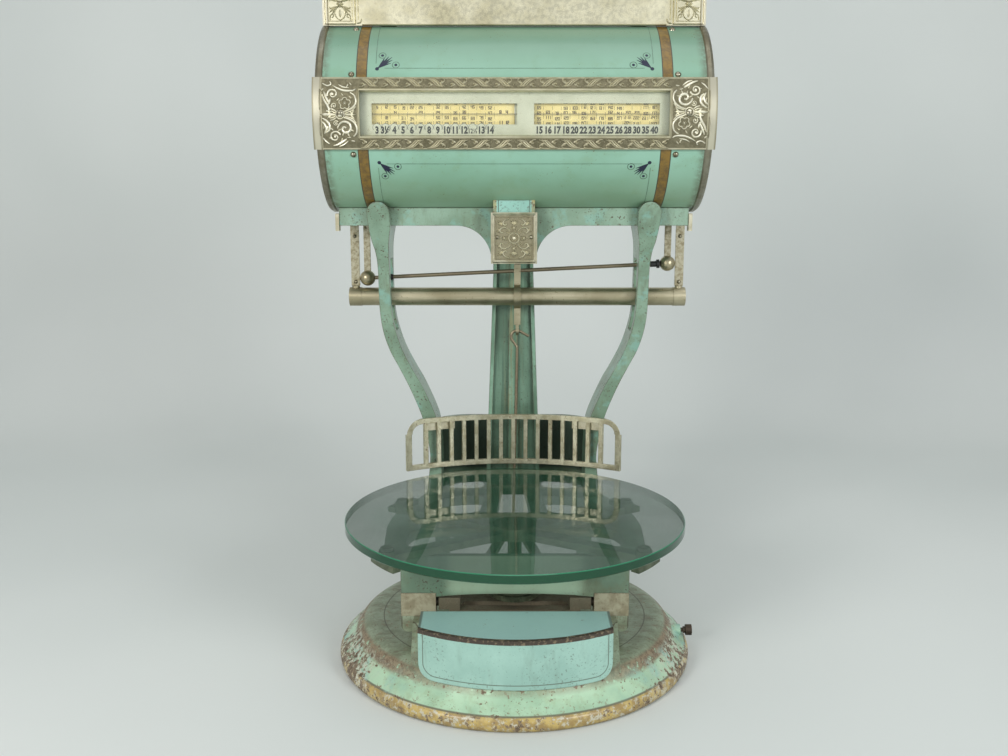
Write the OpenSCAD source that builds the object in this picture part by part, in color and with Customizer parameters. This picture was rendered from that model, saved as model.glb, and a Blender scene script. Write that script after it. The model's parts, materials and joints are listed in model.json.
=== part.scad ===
// Counter weighing scale: a round cast base and a saddle carry a glass platter in front and a long
// barrel on two curved arms and a column behind. The platter presses a lever, the lever pulls the
// draft rod, the draft gear stretches two springs and a rack turns the chart drum in the barrel.
// Origin: centre of the base's foot ring. +Z is up, -Y is the front, X runs along the barrel.

/* [Base] */
// Radius of the round base at its widest
base_r = 210; // [204:1:218]
// Height of the flat top of the base
base_top = 48; // [45:1:50]
// Width of the sloping flank, from the edge of the top out to the widest point
flank_w = 23.5; // [21:0.5:26]
// Drop from the flat top down to its edge
edge_drop = 10; // [8:0.5:12]
// Width of the rounded shoulder between the flat top and its edge
shoulder_w = 22; // [18:1:26]
// Wall of the base casting
base_wall = 7; // [5:0.5:8]
// Height of the two cheeks that carry the knife-edge blocks
cheek_top = 79; // [76:1:82]
// Wall of the cheeks
cheek_t = 9; // [7:0.5:11]

/* [Front box] */
// Width of the front box
box_w = 208; // [200:1:212]
// Height of the front box's lid above the floor
box_top = 93; // [90:1:96]
// Distance of the curved front face inside the base's widest radius
box_set = 20; // [18:0.5:23]
// Distance from the middle of the base back to the box's rear edge
box_back = 112; // [108:1:116]
// Wall of the front box
box_wall = 3; // [2:0.5:4]
// Radius of the lower corners of the front face
box_corner_r = 18; // [12:1:22]

/* [Lever and blocks] */
// Height of the knife-edge pivot
pivot_z = 92; // [91:0.5:93]
// Distance from the middle of the base forward to the pivot
pivot_y = 81; // [80:0.5:82]
// Radius of the pivot pins
pivot_r = 5; // [4:0.25:6]
// Radial clearance of the pivot pins in their blocks
pivot_clear = 0.06; // [0.04:0.01:0.08]
// Width of a knife-edge block along the pivot
block_w = 39; // [34:1:42]
// Depth of a knife-edge block
block_d = 22; // [20:1:24]
// Distance from the middle to the inner face of a block
block_in = 89; // [88:0.5:92]

/* [Saddle] */
// Height of the saddle's flat top
plate_top = 150; // [148:1:151]
// Thickness of the saddle plate
plate_t = 12; // [10:0.5:13]
// Thickness of the front bridge
bridge_t = 8; // [6:0.5:9]
// Height of the back wall between the arms and the column
wall_h = 85; // [70:1:95]
// Thickness of the back wall
wall_t = 8; // [6:0.5:10]

/* [Platter] */
// Radius of the glass platter
glass_r = 193; // [186:1:196]
// Thickness of the glass platter
glass_t = 10; // [8:0.5:12]
// Height of the underside of the glass
glass_z = 176; // [175:0.5:178]
// Distance from the middle of the base forward to the platter's middle
platter_y = 50; // [49:0.5:52]
// Radius of the nickel collar on the stem
collar_r = 30; // [26:0.5:31]
// Radius of the platter stem
stem_r = 8; // [7:0.5:9]
// Thickness of the soft pads under the glass
pad_t = 3.5; // [3:0.25:4]

/* [Guard rail] */
// Width of the guard rail across its ends
rail_w = 275; // [262:1:280]
// Height of the guard rail
rail_h = 67; // [60:1:70]
// Height of the rail's lower edge
rail_z = 190; // [189:0.5:194]
// Plan radius of the rail's front face
rail_r = 260; // [255:1:266]
// Thickness of the rail
rail_t = 4.5; // [3.5:0.25:5]
// Distance between the rail's bars
bar_pitch = 16.2; // [15:0.1:18]
// Width of a bar
bar_w = 5; // [4:0.25:6]

/* [Frame] */
// Distance from the middle back to the barrel's axis
barrel_y = 150; // [149:0.5:151]
// Height of the barrel's axis
barrel_z = 637; // [634:1:640]
// Thickness of the arms' front flange
flange_t = 9; // [7:0.5:10]
// Thickness of the arms' web
web_t = 7; // [6:0.5:8]
// Distance by which the cross beam stays short of the barrel's end
beam_in = 12; // [10:1:16]
// Drop from the barrel's lowest line to the cross beam's underside
beam_drop = 17.8; // [16:0.1:20]
// Depth of the cross beam
beam_d = 30; // [26:1:32]
// Half width of the column at its foot
column_foot = 37; // [35:0.5:38]
// Half width of the column at its top
column_top = 26.5; // [25:0.5:28]

/* [Barrel] */
// Outer radius of the barrel shell
barrel_r = 113.2; // [112.5:0.1:114]
// Wall of the barrel shell
shell_t = 1.6; // [1.2:0.1:2]
// Length of the barrel over its end rings
barrel_len = 460; // [458:1:464]
// Width of an end ring
ring_w = 8.7; // [8:0.1:9]
// Half angle of the window frame round the barrel
frame_half = 20.2; // [19:0.2:21.4]
// Half angle of the window opening
open_half = 12.6; // [12:0.2:13.2]
// Length of the window frame's end plates, from the barrel's end to the opening
plate_w = 51.5; // [49:0.5:54]
// Thickness of the window frame
frame_t = 4.6; // [4:0.2:5.4]
// Height of the tablet on top of the barrel
tablet_h = 50; // [44:1:56]
// Rise of the tablet's middle crest
crest_h = 18; // [12:1:22]

/* [Chart drum] */
// Room between the chart mask and the drum
drum_room = 7.4; // [6.4:0.1:9]
// Distance by which the chart drum stays short of the window opening's end
drum_inset = 6.5; // [4:0.5:10]
// Radius of the drum shaft
shaft_r = 3; // [2.5:0.1:3]
// Tooth size of the rack and pinion
tooth_m = 0.75; // [0.7:0.01:0.8]
// Number of teeth on the pinion
pinion_teeth = 16; // [15:1:17]

/* [Draft gear] */
// Sideways offset of the draft gear from the middle
draft_x = 5; // [4.5:0.1:5.2]
// Distance from the middle back to the draft gear
draft_y = 160; // [159.8:0.1:160.4]
// Height of the equaliser tube's axis
tube_z = 413; // [411:0.5:415]
// Radius of the equaliser tube
tube_r = 11.65; // [11:0.05:12]
// Length of the equaliser tube beyond the middle of a strap
tube_end = 8; // [7:0.25:8]
// Travel of the draft gear at full load
travel = 30; // [28:0.5:30]
// Radius of the balls on the cross rod
ball_r = 10; // [9:0.25:10.5]
// Height of the left ball
ball_left_z = 437; // [436:0.5:439]
// Height of the right ball
ball_right_z = 456; // [453:0.5:458]
// Radius of the slim cross rod
rod_r = 2.5; // [2:0.1:3]
// Radius of the draft rod
draft_r = 1.9; // [1.6:0.1:2.2]
// Outer radius of the springs
spring_r = 6; // [5:0.25:6]

/* [Hidden] */
$fn = 96;

// Named clearances
seat_gap = 0.2;
slide_gap = 0.3;
free_gap = 2;
eps = 0.01;

// Colours
mint = "mediumaquamarine";
pale_mint = "powderblue";
nickel = "silver";
stone = "tan";
steel = "dimgray";
cream = "beige";

// Derived places
edge_r = base_r - flank_w;
box_front_r = base_r - box_set;
edge_z = base_top - edge_drop;
flat_r = edge_r - shoulder_w;
cheek_in = box_w / 2 + 0.6;
block_front = -pivot_y - block_d / 2;
block_out = block_in + block_w;
block_top = pivot_z + 14;
stub_half = 7;
bar_top = pivot_z - 8;
stop_gap = 0.4;
lever_back = draft_y + pivot_y;
tip_z = pivot_z + travel / 2;
arm_x = 95;
arm_foot_w = 19;
arm_back = 200;
wall_r = 55;
wall_x = arm_x + arm_foot_w + 1 - wall_r;
back_y = arm_back + wall_r;
column_y = 185;
beam_z = barrel_z - barrel_r - beam_drop;
half_len = barrel_len / 2;
shell_half = half_len - ring_w;
open_x = half_len - plate_w;
drum_half = open_x - drum_inset;
beam_half = half_len - beam_in;
knob_x = half_len - 62.5;
arm_shift = knob_x - arm_x - 72.5;
ring_in = barrel_r - 9.2;
ring_out = barrel_r + 1.6;
strap_off = shell_half - 11.3;
tube_half = strap_off + tube_end;
strap_w = 11;
strap_t = 3;
drop_off = strap_off - 15.6;
drop_w = 8.5;
seat_z = 545;
seat_t = 4;
hanger_z = 728;
cap_len = 15.8;
cap_r = tube_r + 0.55;
hub_z = glass_z - 16;
pad_z = glass_z - pad_t;
pitch_r = tooth_m * pinion_teeth / 2;
rack_y = barrel_y + pitch_r;
rack_w = 6;
rack_back = rack_y + 1.3 * tooth_m + 4.6;
front_z = beam_z + 22;
beam_y = 118;
plate_y = 92;
glass_out = barrel_r - shell_t - 1.2;
mask_r = glass_out - 5;
drum_r = mask_r - drum_room;

// Point on a quadratic curve, and a run of such points
function bez(a, b, c, t) = (1 - t) * (1 - t) * a + 2 * t * (1 - t) * b + t * t * c;
function bend(a, b, c, n = 8) = [for (i = [0:n]) bez(a, b, c, i / n)];
// Smooth curve through points, open or closed
function knot(p, a, b, c, t) =
    0.5 * (2 * a + (b - p) * t + (2 * p - 5 * a + 4 * b - c) * t * t + (3 * a - p - 3 * b + c) * t * t * t);
function run(p, n = 5) = [
    for (i = [0:len(p) - 2])
        for (j = [0:n - 1])
            knot(p[max(i - 1, 0)], p[i], p[i + 1], p[min(i + 2, len(p) - 1)], j / n),
    p[len(p) - 1]
];
function loop(p, n = 5) = [
    for (i = [0:len(p) - 1])
        for (j = [0:n - 1])
            knot(p[(i + len(p) - 1) % len(p)], p[i], p[(i + 1) % len(p)], p[(i + 2) % len(p)], j / n)
];
function flip(p) = [for (i = [len(p) - 1:-1:0]) [-p[i][0], p[i][1]]];
function shifted(p, d) = [for (q = p) [q[0] + d, q[1]]];
function reversed(p) = [for (i = [len(p) - 1:-1:0]) p[i]];

// Box from its lowest to its highest corner
module block(a, b) {
    translate(a) cube(b - a);
}
// Rod along X, Y or Z
module rod_x(x0, x1, y, z, r) {
    translate([x0, y, z]) rotate([0, 90, 0]) cylinder(h = x1 - x0, r = r);
}
module rod_y(y0, y1, x, z, r) {
    translate([x, y0, z]) rotate([-90, 0, 0]) cylinder(h = y1 - y0, r = r);
}
// Outline in X and Z, thickened from y0 back to y1
module front_slab(y0, y1) {
    translate([0, y1, 0]) rotate([90, 0, 0]) linear_extrude(height = y1 - y0) children();
}
// Outline in Y and Z, thickened from x0 to x1
module side_slab(x0, x1) {
    translate([x0, 0, 0]) rotate([90, 0, 90]) linear_extrude(height = x1 - x0) children();
}
// Part of a tube round the barrel's axis, about an angle above the horizontal, in front at 0
module barrel_sector(r0, r1, x0, x1, half, up = 0) {
    translate([x0, barrel_y, barrel_z])
        rotate([0, 90, 0])
            rotate([0, 0, -90 - up - half])
                rotate_extrude(angle = 2 * half)
                    translate([r0, 0]) square([r1 - r0, x1 - x0]);
}
module barrel_solid(r) {
    rod_x(-300, 300, barrel_y, barrel_z, r);
}
// Low dome, flat side at z = 0
module dome(r, h) {
    ball = (r * r + h * h) / (2 * h);
    intersection() {
        translate([0, 0, h - ball]) sphere(r = ball);
        translate([-r, -r, 0]) cube([2 * r, 2 * r, h]);
    }
}
module on_barrel(x, up, r) {
    translate([x, barrel_y, barrel_z]) rotate([90 - up, 0, 0]) translate([0, 0, r]) children();
}

// Outer profile of the base, grown by a gap
function base_outline(gap) = concat(
    [[0, 0], [base_r - 6 + gap, 0]],
    bend([base_r - 6 + gap, 0], [base_r + gap, 0], [base_r + gap, 8]),
    bend([base_r + gap, 8], [base_r + gap, 14], [base_r - 4 + gap, 17], 6),
    bend([base_r - 6 + gap, 18.5], [edge_r + 8 + gap, 25], [edge_r + gap, edge_z], 8),
    bend([edge_r + gap - 1, edge_z + 1.5], [edge_r - 8, base_top + gap], [flat_r, base_top + gap], 8),
    [[0, base_top + gap]]
);
base_hollow = [
    [0, -1], [base_r - 14, -1], [base_r - 14, 12], [edge_r - base_wall + 2, edge_z - base_wall],
    [flat_r - 4, base_top - base_wall], [0, base_top - base_wall]
];
module base_casting() {
    color(mint) difference() {
        union() {
            difference() {
                rotate_extrude() polygon(base_outline(0));
                rotate_extrude() polygon(base_hollow);
            }
            for (s = [-1, 1])
                cheek(s);
            rod_x(base_r - 24, base_r - 9, thumb_y, thumb_z, 7);
        }
        rod_x(base_r - 24 - eps, base_r - 8, thumb_y, thumb_z, thumb_r + 0.06);
    }
}
// Sheet cover that closes the hollow of the base, level with its foot ring
module bottom_cover() {
    color(steel) cylinder(h = 2, r = base_r - 14.1);
}
thumb_y = -8;
thumb_z = 25;
thumb_r = 2.5;
// Cheek beside the front box, with the rounded lug under its block
module cheek(s) {
    front = -sqrt(edge_r * edge_r - pow(cheek_in + cheek_t, 2));
    x0 = s > 0 ? cheek_in : -cheek_in - cheek_t;
    side_slab(x0, x0 + cheek_t) polygon([
        [front, edge_z - 5], [front, edge_z + 2], [-box_back, cheek_top],
        [block_front + block_d + 8, cheek_top], [block_front + block_d + 8, base_top - 3]
    ]);
    lug_x = s * (block_out - 8);
    block([lug_x - 8, block_front, cheek_top - 11], [lug_x + 8, block_front + block_d, cheek_top]);
    rod_y(block_front, block_front + block_d, lug_x, cheek_top - 11, 8);
}

module box_plan(inset) {
    intersection() {
        circle(r = box_front_r - inset);
        translate([-box_w / 2 + inset, -base_r]) square([box_w - 2 * inset, base_r - box_back - inset]);
    }
}
// Front view of the box: square above, rounded corners below
module box_front(low) {
    w = box_w / 2;
    r = box_corner_r;
    polygon(concat(
        [[w, box_top + 1]], bend([w, low + r], [w, low], [w - r, low]),
        bend([-w + r, low], [-w, low], [-w, low + r]), [[-w, box_top + 1]]
    ));
}
module front_box() {
    color(pale_mint) difference() {
        intersection() {
            difference() {
                linear_extrude(height = box_top) box_plan(0);
                translate([0, 0, -1]) linear_extrude(height = box_top - box_wall + 1) box_plan(box_wall);
            }
            front_slab(-base_r, 0) box_front(edge_z + 0.5);
        }
        rotate_extrude() polygon(base_outline(seat_gap));
    }
}

module knife_blocks() {
    color(stone) for (s = [-1, 1])
        difference() {
            x0 = s > 0 ? block_in : -block_out;
            block([x0, block_front, cheek_top], [x0 + block_w, block_front + block_d, block_top]);
            rod_x(s > 0 ? block_in - 1 : -block_in - 23, s > 0 ? block_in + 23 : -block_in + 1,
                -pivot_y, pivot_z, pivot_r + pivot_clear);
        }
}

// Right half of the saddle's outline, from the front corner round to the back
saddle_side = run([
    [block_out, block_front], [block_out + 14, block_front + 10], [block_out + 21, block_front + 34],
    [block_out + 24, -18], [block_out + 25, 22], [block_out + 15, 87], [arm_x + 28, 130],
    [arm_x + 20, 160], [wall_x + wall_r, arm_back]
]);
saddle_back = [for (a = [6:6:90]) [wall_x + wall_r * cos(a), arm_back + wall_r * sin(a)]];
saddle_half = concat(saddle_side, saddle_back);
recess_side = concat(
    [[block_in - 1, block_front + bridge_t], [block_in - 1, block_front + 24]],
    bend([block_in - 1, block_front + 24], [block_out - 2, block_front + 24], [block_out - 2, -45]),
    bend([block_out - 3, -25], [block_out - 6, 5], [block_in + 3, 5])
);
side_gap = loop([[128, 33], [118, 75], [104, 108], [84, 128], [40, 132], [41, 90], [50, 65], [93, 57]]);
rear_gap = loop([[42, 178], [88, 176], [94, 205], [80, 233], [58, 242], [42, 240]], 4);
module mirror_pair() {
    children();
    mirror([1, 0, 0]) children();
}
module saddle_frame() {
    color(mint) union() {
        translate([0, 0, plate_top - plate_t]) linear_extrude(height = plate_t) difference() {
            polygon(concat(saddle_half, flip(saddle_half)));
            polygon(concat(recess_side, flip(recess_side)));
            mirror_pair() polygon(side_gap);
            mirror_pair() polygon(rear_gap);
            polygon([[22, 64], [15, column_y - 4], [-15, column_y - 4], [-22, 64]]);
        }
        // Front bridge with its low arch
        arch = bend([block_in - 0.4, block_top - 4.5], [50, block_top], [0, block_top - 1], 8);
        front_slab(block_front, block_front + bridge_t) polygon(concat(
            [[block_out, plate_top - plate_t], [block_out, block_top], [block_in - 0.4, block_top]],
            arch, flip(arch),
            [[-block_in + 0.4, block_top], [-block_out, block_top], [-block_out, plate_top - plate_t]]
        ));
        for (s = [-1, 1]) {
            x0 = s > 0 ? block_in + 3 : -block_out;
            block([x0, block_front, block_top],
                [x0 + block_w - 3, block_front + block_d, plate_top - plate_t]);
            // Rear leg, leaning back from the base to the saddle
            x1 = s > 0 ? arm_x - 11 : -arm_x - 7;
            side_slab(x1, x1 + 18) polygon(concat(
                bend([124, base_top], [128, 108], [172, plate_top - plate_t + 3], 6),
                bend([138, plate_top - plate_t + 3], [98, 112], [92, base_top], 6)
            ));
            // Back wall, round its corner and straight to the column
            translate([s * wall_x, arm_back, plate_top - 3])
                rotate([0, 0, s > 0 ? 0 : 90])
                    rotate_extrude(angle = 90) translate([wall_r - wall_t - 1, 0]) square([wall_t, wall_h + 3]);
            near = column_foot + seat_gap;
            lean_in = (column_foot - column_top) * wall_h / (440 - plate_top);
            front_slab(back_y - wall_t - 1, back_y - 1) polygon([
                [s * wall_x, plate_top - 3], [s * near, plate_top - 3], [s * near, plate_top],
                [s * (near - lean_in), plate_top + wall_h], [s * wall_x, plate_top + wall_h]
            ]);
        }
    }
}

// The upper part of an arm's outline goes out and in with the barrel's end
function lean(p) = [for (q = p) [q[0] + arm_shift * max(0, min(1, (q[1] - 235) / 170)), q[1]]];
// Front view of the right arm: outer and inner edge of its front flange, from the foot up
arm_outer = lean(run([
    [arm_x + 20, plate_top], [arm_x + 15, 196], [arm_x + 17, 222], [arm_x + 25, 257], [arm_x + 40, 295],
    [arm_x + 54, 324], [arm_x + 65, 346], [arm_x + 73, 372], [arm_x + 76.5, 402], [arm_x + 77, 450],
    [arm_x + 79, 472], [arm_x + 83, 488], [arm_x + 86, 510], [arm_x + 86.5, front_z - 3]
]));
arm_inner = lean(run([
    [arm_x, plate_top], [arm_x, 200], [arm_x + 2, 235], [arm_x + 6.5, 257], [arm_x + 23, 296],
    [arm_x + 35, 318], [arm_x + 49, 347], [arm_x + 59, 381], [arm_x + 62, 412], [arm_x + 62.5, 470],
    [arm_x + 61, 490], [arm_x + 58.5, 505], [arm_x + 58.5, front_z - 3]
]));
// Side view of an arm's front face
arm_face = run([
    [137, plate_top], [140, 200], [140, 257], [138, 300], [134, 360], [130, 415], [124, 462],
    [115, 490], [105, 512], [98, front_z + 3], [96, front_z + 12]
]);
arm_rear = [[185, beam_z], [186, 450], [192, 350], [198, 250], [arm_back, plate_top]];
module arm() {
    color(mint) difference() {
        union() {
            // Front flange; its knob at the top reaches back to the cross beam
            intersection() {
                front_slab(80, arm_back) union() {
                    polygon(concat(arm_outer, reversed(arm_inner)));
                    translate([knob_x, front_z - 6]) circle(r = 14);
                }
                side_slab(0, 260) polygon(concat(
                    arm_face, [[beam_y, front_z + 12], [beam_y, beam_z - 4]],
                    reversed([for (p = arm_face) if (p[1] < beam_z - 10) [p[0] + flange_t, p[1]]])
                ));
            }
            intersection() {
                front_slab(80, arm_back) polygon(concat(
                    shifted(arm_inner, 0.6), reversed(shifted(arm_inner, web_t + 0.6))
                ));
                side_slab(0, 260) polygon(concat(
                    [for (p = arm_face) if (p[1] < beam_z - 16) [p[0] + flange_t - 1.5, p[1]]],
                    [[beam_y + 4, beam_z]], arm_rear
                ));
            }
        }
        barrel_solid(barrel_r + seat_gap);
        // Window in the web for the tube and the cross rod, over their whole travel
        block([knob_x - 33, draft_y - tube_r - free_gap, tube_z - tube_r - travel - free_gap],
            [knob_x + 18, draft_y + tube_r + free_gap, ball_right_z + rod_r + free_gap + 2]);
    }
}
module left_arm() {
    mirror([1, 0, 0]) arm();
}
module right_arm() {
    arm();
}

module column() {
    head = beam_z + 54;
    color(mint) difference() {
        front_slab(column_y, back_y) polygon([
            [column_foot, plate_top], [column_top, 440], [column_top, head],
            [-column_top, head], [-column_top, 440], [-column_foot, plate_top]
        ]);
        // Two flutes in the face
        for (s = [-1, 1])
            front_slab(column_y - 1, column_y + 5) polygon([
                [s * (column_foot - 6), plate_top + 12], [s * (column_top - 5), 440],
                [s * (column_top - 5), beam_z - 8], [s * 5, beam_z - 8], [s * 7, plate_top + 12]
            ]);
        // Open channel in the back
        front_slab(column_y + 14, back_y + 1) polygon([
            [column_foot - 8, plate_top - 1], [column_top - 7, 440], [column_top - 7, head + 1],
            [-column_top + 7, head + 1], [-column_top + 7, 440], [-column_foot + 8, plate_top - 1]
        ]);
        // The back narrows towards the barrel
        side_slab(-60, 60) polygon([[back_y - 15, beam_z], [back_y + 1, 330], [back_y + 1, head + 1],
            [back_y - 15, head + 1]]);
        barrel_solid(barrel_r + seat_gap);
    }
}

module cross_beam() {
    arch_r = 44;
    color(mint) difference() {
        union() {
            block([-beam_half, beam_y, beam_z], [beam_half, beam_y + beam_d, front_z]);
            block([-28, beam_y, beam_z - 45], [28, beam_y + beam_d, front_z]);
            // Arched brackets beside the middle block
            for (s = [-1, 1])
                difference() {
                    x0 = s > 0 ? 28 : -28 - arch_r;
                    block([x0, beam_y, beam_z - arch_r], [x0 + arch_r, beam_y + beam_d, beam_z]);
                    rod_y(beam_y - 1, beam_y + beam_d + 1, s * (28 + arch_r), beam_z - arch_r, arch_r);
                }
            // Tie back to the column
            block([-20, beam_y, beam_z], [20, column_y, front_z]);
        }
        block([draft_x - 7, rack_y - 3, beam_z - 60], [draft_x + 7, rack_back + 4, front_z + 1]);
        barrel_solid(barrel_r + seat_gap);
    }
}
module end_tabs() {
    color(nickel) for (s = [-1, 1]) {
        x0 = s > 0 ? beam_half : -beam_half - 4.5;
        block([x0, beam_y - 2, beam_z - 6.5], [x0 + 4.5, beam_y + 10, beam_z + 15]);
    }
}
housing_y = plate_y + 3;
module rack_housing() {
    color(pale_mint) difference() {
        union() {
            block([-27, housing_y, beam_z - 45], [27, beam_y, beam_z + 17]);
            block([-25.6, housing_y, beam_z - 45], [25.6, beam_y, beam_z + 36]);
        }
        block([-23, housing_y + 4, beam_z - 41], [23, beam_y + 1, beam_z + 13]);
        barrel_solid(barrel_r + seat_gap);
    }
}
module cover_plate() {
    color(nickel) difference() {
        block([-28.4, plate_y, beam_z - 45.4], [28.4, housing_y, beam_z + 17]);
        block([-24, plate_y - 1, beam_z - 41], [24, plate_y + 0.8, beam_z + 12.6]);
    }
}
module cover_screws() {
    color(nickel) for (s = [-1, 1])
        translate([s * 20.6, plate_y + 0.8, beam_z - 13]) rotate([90, 0, 0]) dome(2.6, 2);
}

module slots_under() {
    low = barrel_z - barrel_r - 5;
    y0 = draft_y - 7;
    y1 = draft_y + 7;
    for (s = [-1, 1]) {
        a = draft_x + s * (drop_off - drop_w / 2 - 2.5);
        b = draft_x + s * (strap_off + strap_w / 2 + 2.5);
        block([min(a, b), y0, low], [max(a, b), y1, barrel_z - 80]);
    }
    block([draft_x - 7, rack_y - 3, low], [draft_x + 7, rack_back + 3, barrel_z - 80]);
}
module barrel_shell() {
    color(mint) difference() {
        rod_x(-shell_half, shell_half, barrel_y, barrel_z, barrel_r);
        rod_x(-shell_half - 1, shell_half + 1, barrel_y, barrel_z, barrel_r - shell_t);
        for (up = [0, 180])
            barrel_sector(barrel_r - 6, barrel_r + 3, -open_x - 4, open_x + 4, open_half + 2, up);
        slots_under();
    }
}
// End ring, its inner face at x = 0
module end_ring() {
    color(nickel) rotate([0, 90, 0]) rotate_extrude() polygon([
        [ring_in, 0], [ring_out - 1.4, 0], [ring_out, 1.5], [ring_out, ring_w - 3],
        [ring_out - 2, ring_w], [ring_in, ring_w]
    ]);
}
module left_end_ring() {
    translate([-shell_half, barrel_y, barrel_z]) mirror([1, 0, 0]) end_ring();
}
module right_end_ring() {
    translate([shell_half, barrel_y, barrel_z]) end_ring();
}
// End cap with the shaft's bearing, its inner face at x = 0
module end_cap() {
    color(mint) rotate([0, 90, 0]) difference() {
        union() {
            translate([0, 0, 2]) cylinder(h = 3, r = ring_in - seat_gap);
            translate([0, 0, 0.8]) cylinder(h = 6.2, r = 9);
        }
        translate([0, 0, -1]) cylinder(h = 6, r = shaft_r + 0.05);
    }
}
module left_end_cap() {
    translate([-shell_half, barrel_y, barrel_z]) mirror([1, 0, 0]) end_cap();
}
module right_end_cap() {
    translate([shell_half, barrel_y, barrel_z]) end_cap();
}

// Section of the frame along the barrel: over the shell, over the end ring and down its side
frame_edge = [
    [barrel_r + seat_gap, shell_half - 0.5], [ring_out + seat_gap, shell_half - 0.5],
    [ring_out + seat_gap, half_len + seat_gap], [ring_in + 2, half_len + seat_gap],
    [ring_in + 2, half_len + 2.4], [barrel_r + frame_t, half_len + 2.4]
];
module frame_shape(up) {
    lip = 2;
    difference() {
        union() {
            translate([0, barrel_y, barrel_z])
                rotate([0, 90, 0])
                    rotate([0, 0, -90 - up - frame_half])
                        rotate_extrude(angle = 2 * frame_half)
                            polygon(concat(frame_edge, [for (p = reversed(frame_edge)) [p[0], -p[1]]]));
            barrel_sector(glass_out + slide_gap, barrel_r + 1, -open_x - lip, open_x + lip,
                open_half + 1, up);
        }
        barrel_sector(glass_out - 5, barrel_r + frame_t + 5, -open_x, open_x, open_half, up);
    }
}
module window_frame() {
    color(nickel) frame_shape(0);
}
module rear_window_frame() {
    color(nickel) frame_shape(180);
}
module pane(up) {
    color("lightcyan", 0.4)
        barrel_sector(glass_out - 2, glass_out, -open_x - 6, open_x + 6, open_half + 3, up);
}
module window_glass() {
    pane(0);
}
module rear_window_glass() {
    pane(180);
}
mask_half = open_half + 1.5;
module chart_mask() {
    sight = 6.5;
    color(cream) difference() {
        union() {
            barrel_sector(mask_r - 1.2, mask_r, -open_x - 1.5, open_x + 1.5, mask_half);
            for (up = [-1, 1])
                barrel_sector(mask_r - 1.2, glass_out - 2 - seat_gap, -open_x, open_x, 0.5,
                    up * (mask_half - 0.5));
            for (x = [-open_x - 1.5, open_x - 1])
                barrel_sector(mask_r - 4, mask_r - 1, x, x + 2.5, 1.5);
        }
        barrel_sector(mask_r - 2, mask_r + 1, -open_x + 13, 3, sight);
        barrel_sector(mask_r - 2, mask_r + 1, 22.5, open_x - 10.5, sight);
    }
}
module index_wire() {
    color(steel) rod_x(-open_x + 1, open_x - 1, barrel_y - mask_r + 2.7, barrel_z, 0.45);
}

tablet_y = barrel_y - 44;
tablet_z = barrel_z + sqrt(barrel_r * barrel_r - 39 * 39) + 0.3;
module tablet() {
    w = half_len - 1;
    top = tablet_z + tablet_h;
    crest = concat(
        bend([w, top - 14], [w - 3, top - 3], [w - 18, top], 5), bend([120, top], [86, top], [70, top + 8], 6),
        bend([62, top + crest_h], [30, top + crest_h], [0, top + crest_h], 6)
    );
    color(nickel) difference() {
        front_slab(tablet_y, tablet_y + 5) polygon(concat(
            [[w, tablet_z]], crest, flip(crest), [[-w, tablet_z]]
        ));
        // Clear of the end rings, which stand above the shell
        for (s = [-1, 1])
            rod_x(s > 0 ? shell_half - seat_gap : -half_len - 1, s > 0 ? half_len + 1 : -shell_half + seat_gap,
                barrel_y, barrel_z, ring_out + seat_gap);
    }
}
module tablet_brackets() {
    color(nickel) difference() {
        for (s = [-1, 1])
            side_slab(s * (half_len - 80) - 9, s * (half_len - 80) + 9) polygon([
                [tablet_y + 5, tablet_z - 8], [tablet_y + 5, tablet_z + 30], [tablet_y + 9, tablet_z + 30],
                [tablet_y + 14, tablet_z + 12], [tablet_y + 36, tablet_z + 10], [tablet_y + 36, tablet_z - 8]
            ]);
        barrel_solid(barrel_r + seat_gap);
    }
}
module barrel_screws() {
    color(nickel) for (x = [-half_len + 42, half_len - 42])
        for (up = [23, 63, -24])
            on_barrel(x, up, barrel_r) dome(3.6, 2.6);
}
module frame_screws() {
    color(nickel) for (x = [-half_len + 30, half_len - 30])
        for (up = [0, 180])
            on_barrel(x, up, barrel_r + frame_t) dome(4.5, 3);
}
module spring_hangers() {
    color(steel) intersection() {
        for (s = [-1, 1])
            block([draft_x + s * strap_off - 7, draft_y - 7, hanger_z],
                [draft_x + s * strap_off + 7, draft_y + 7, barrel_z + barrel_r]);
        difference() {
            barrel_solid(barrel_r - shell_t - seat_gap);
            for (s = [-1, 1])
                rod_x(s > 0 ? shell_half - 0.5 : -shell_half - 20, s > 0 ? shell_half + 20 : -shell_half + 0.5,
                    barrel_y, barrel_z, barrel_r);
        }
    }
}

// The rail stands clear of the draft rod in the middle and of the arms at its brackets
rail_mid = min(draft_y - 8.4 - rail_r,
    135.5 - sqrt(pow(rail_r + rail_t + 3, 2) - pow(arm_x + 15, 2)));
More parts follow.
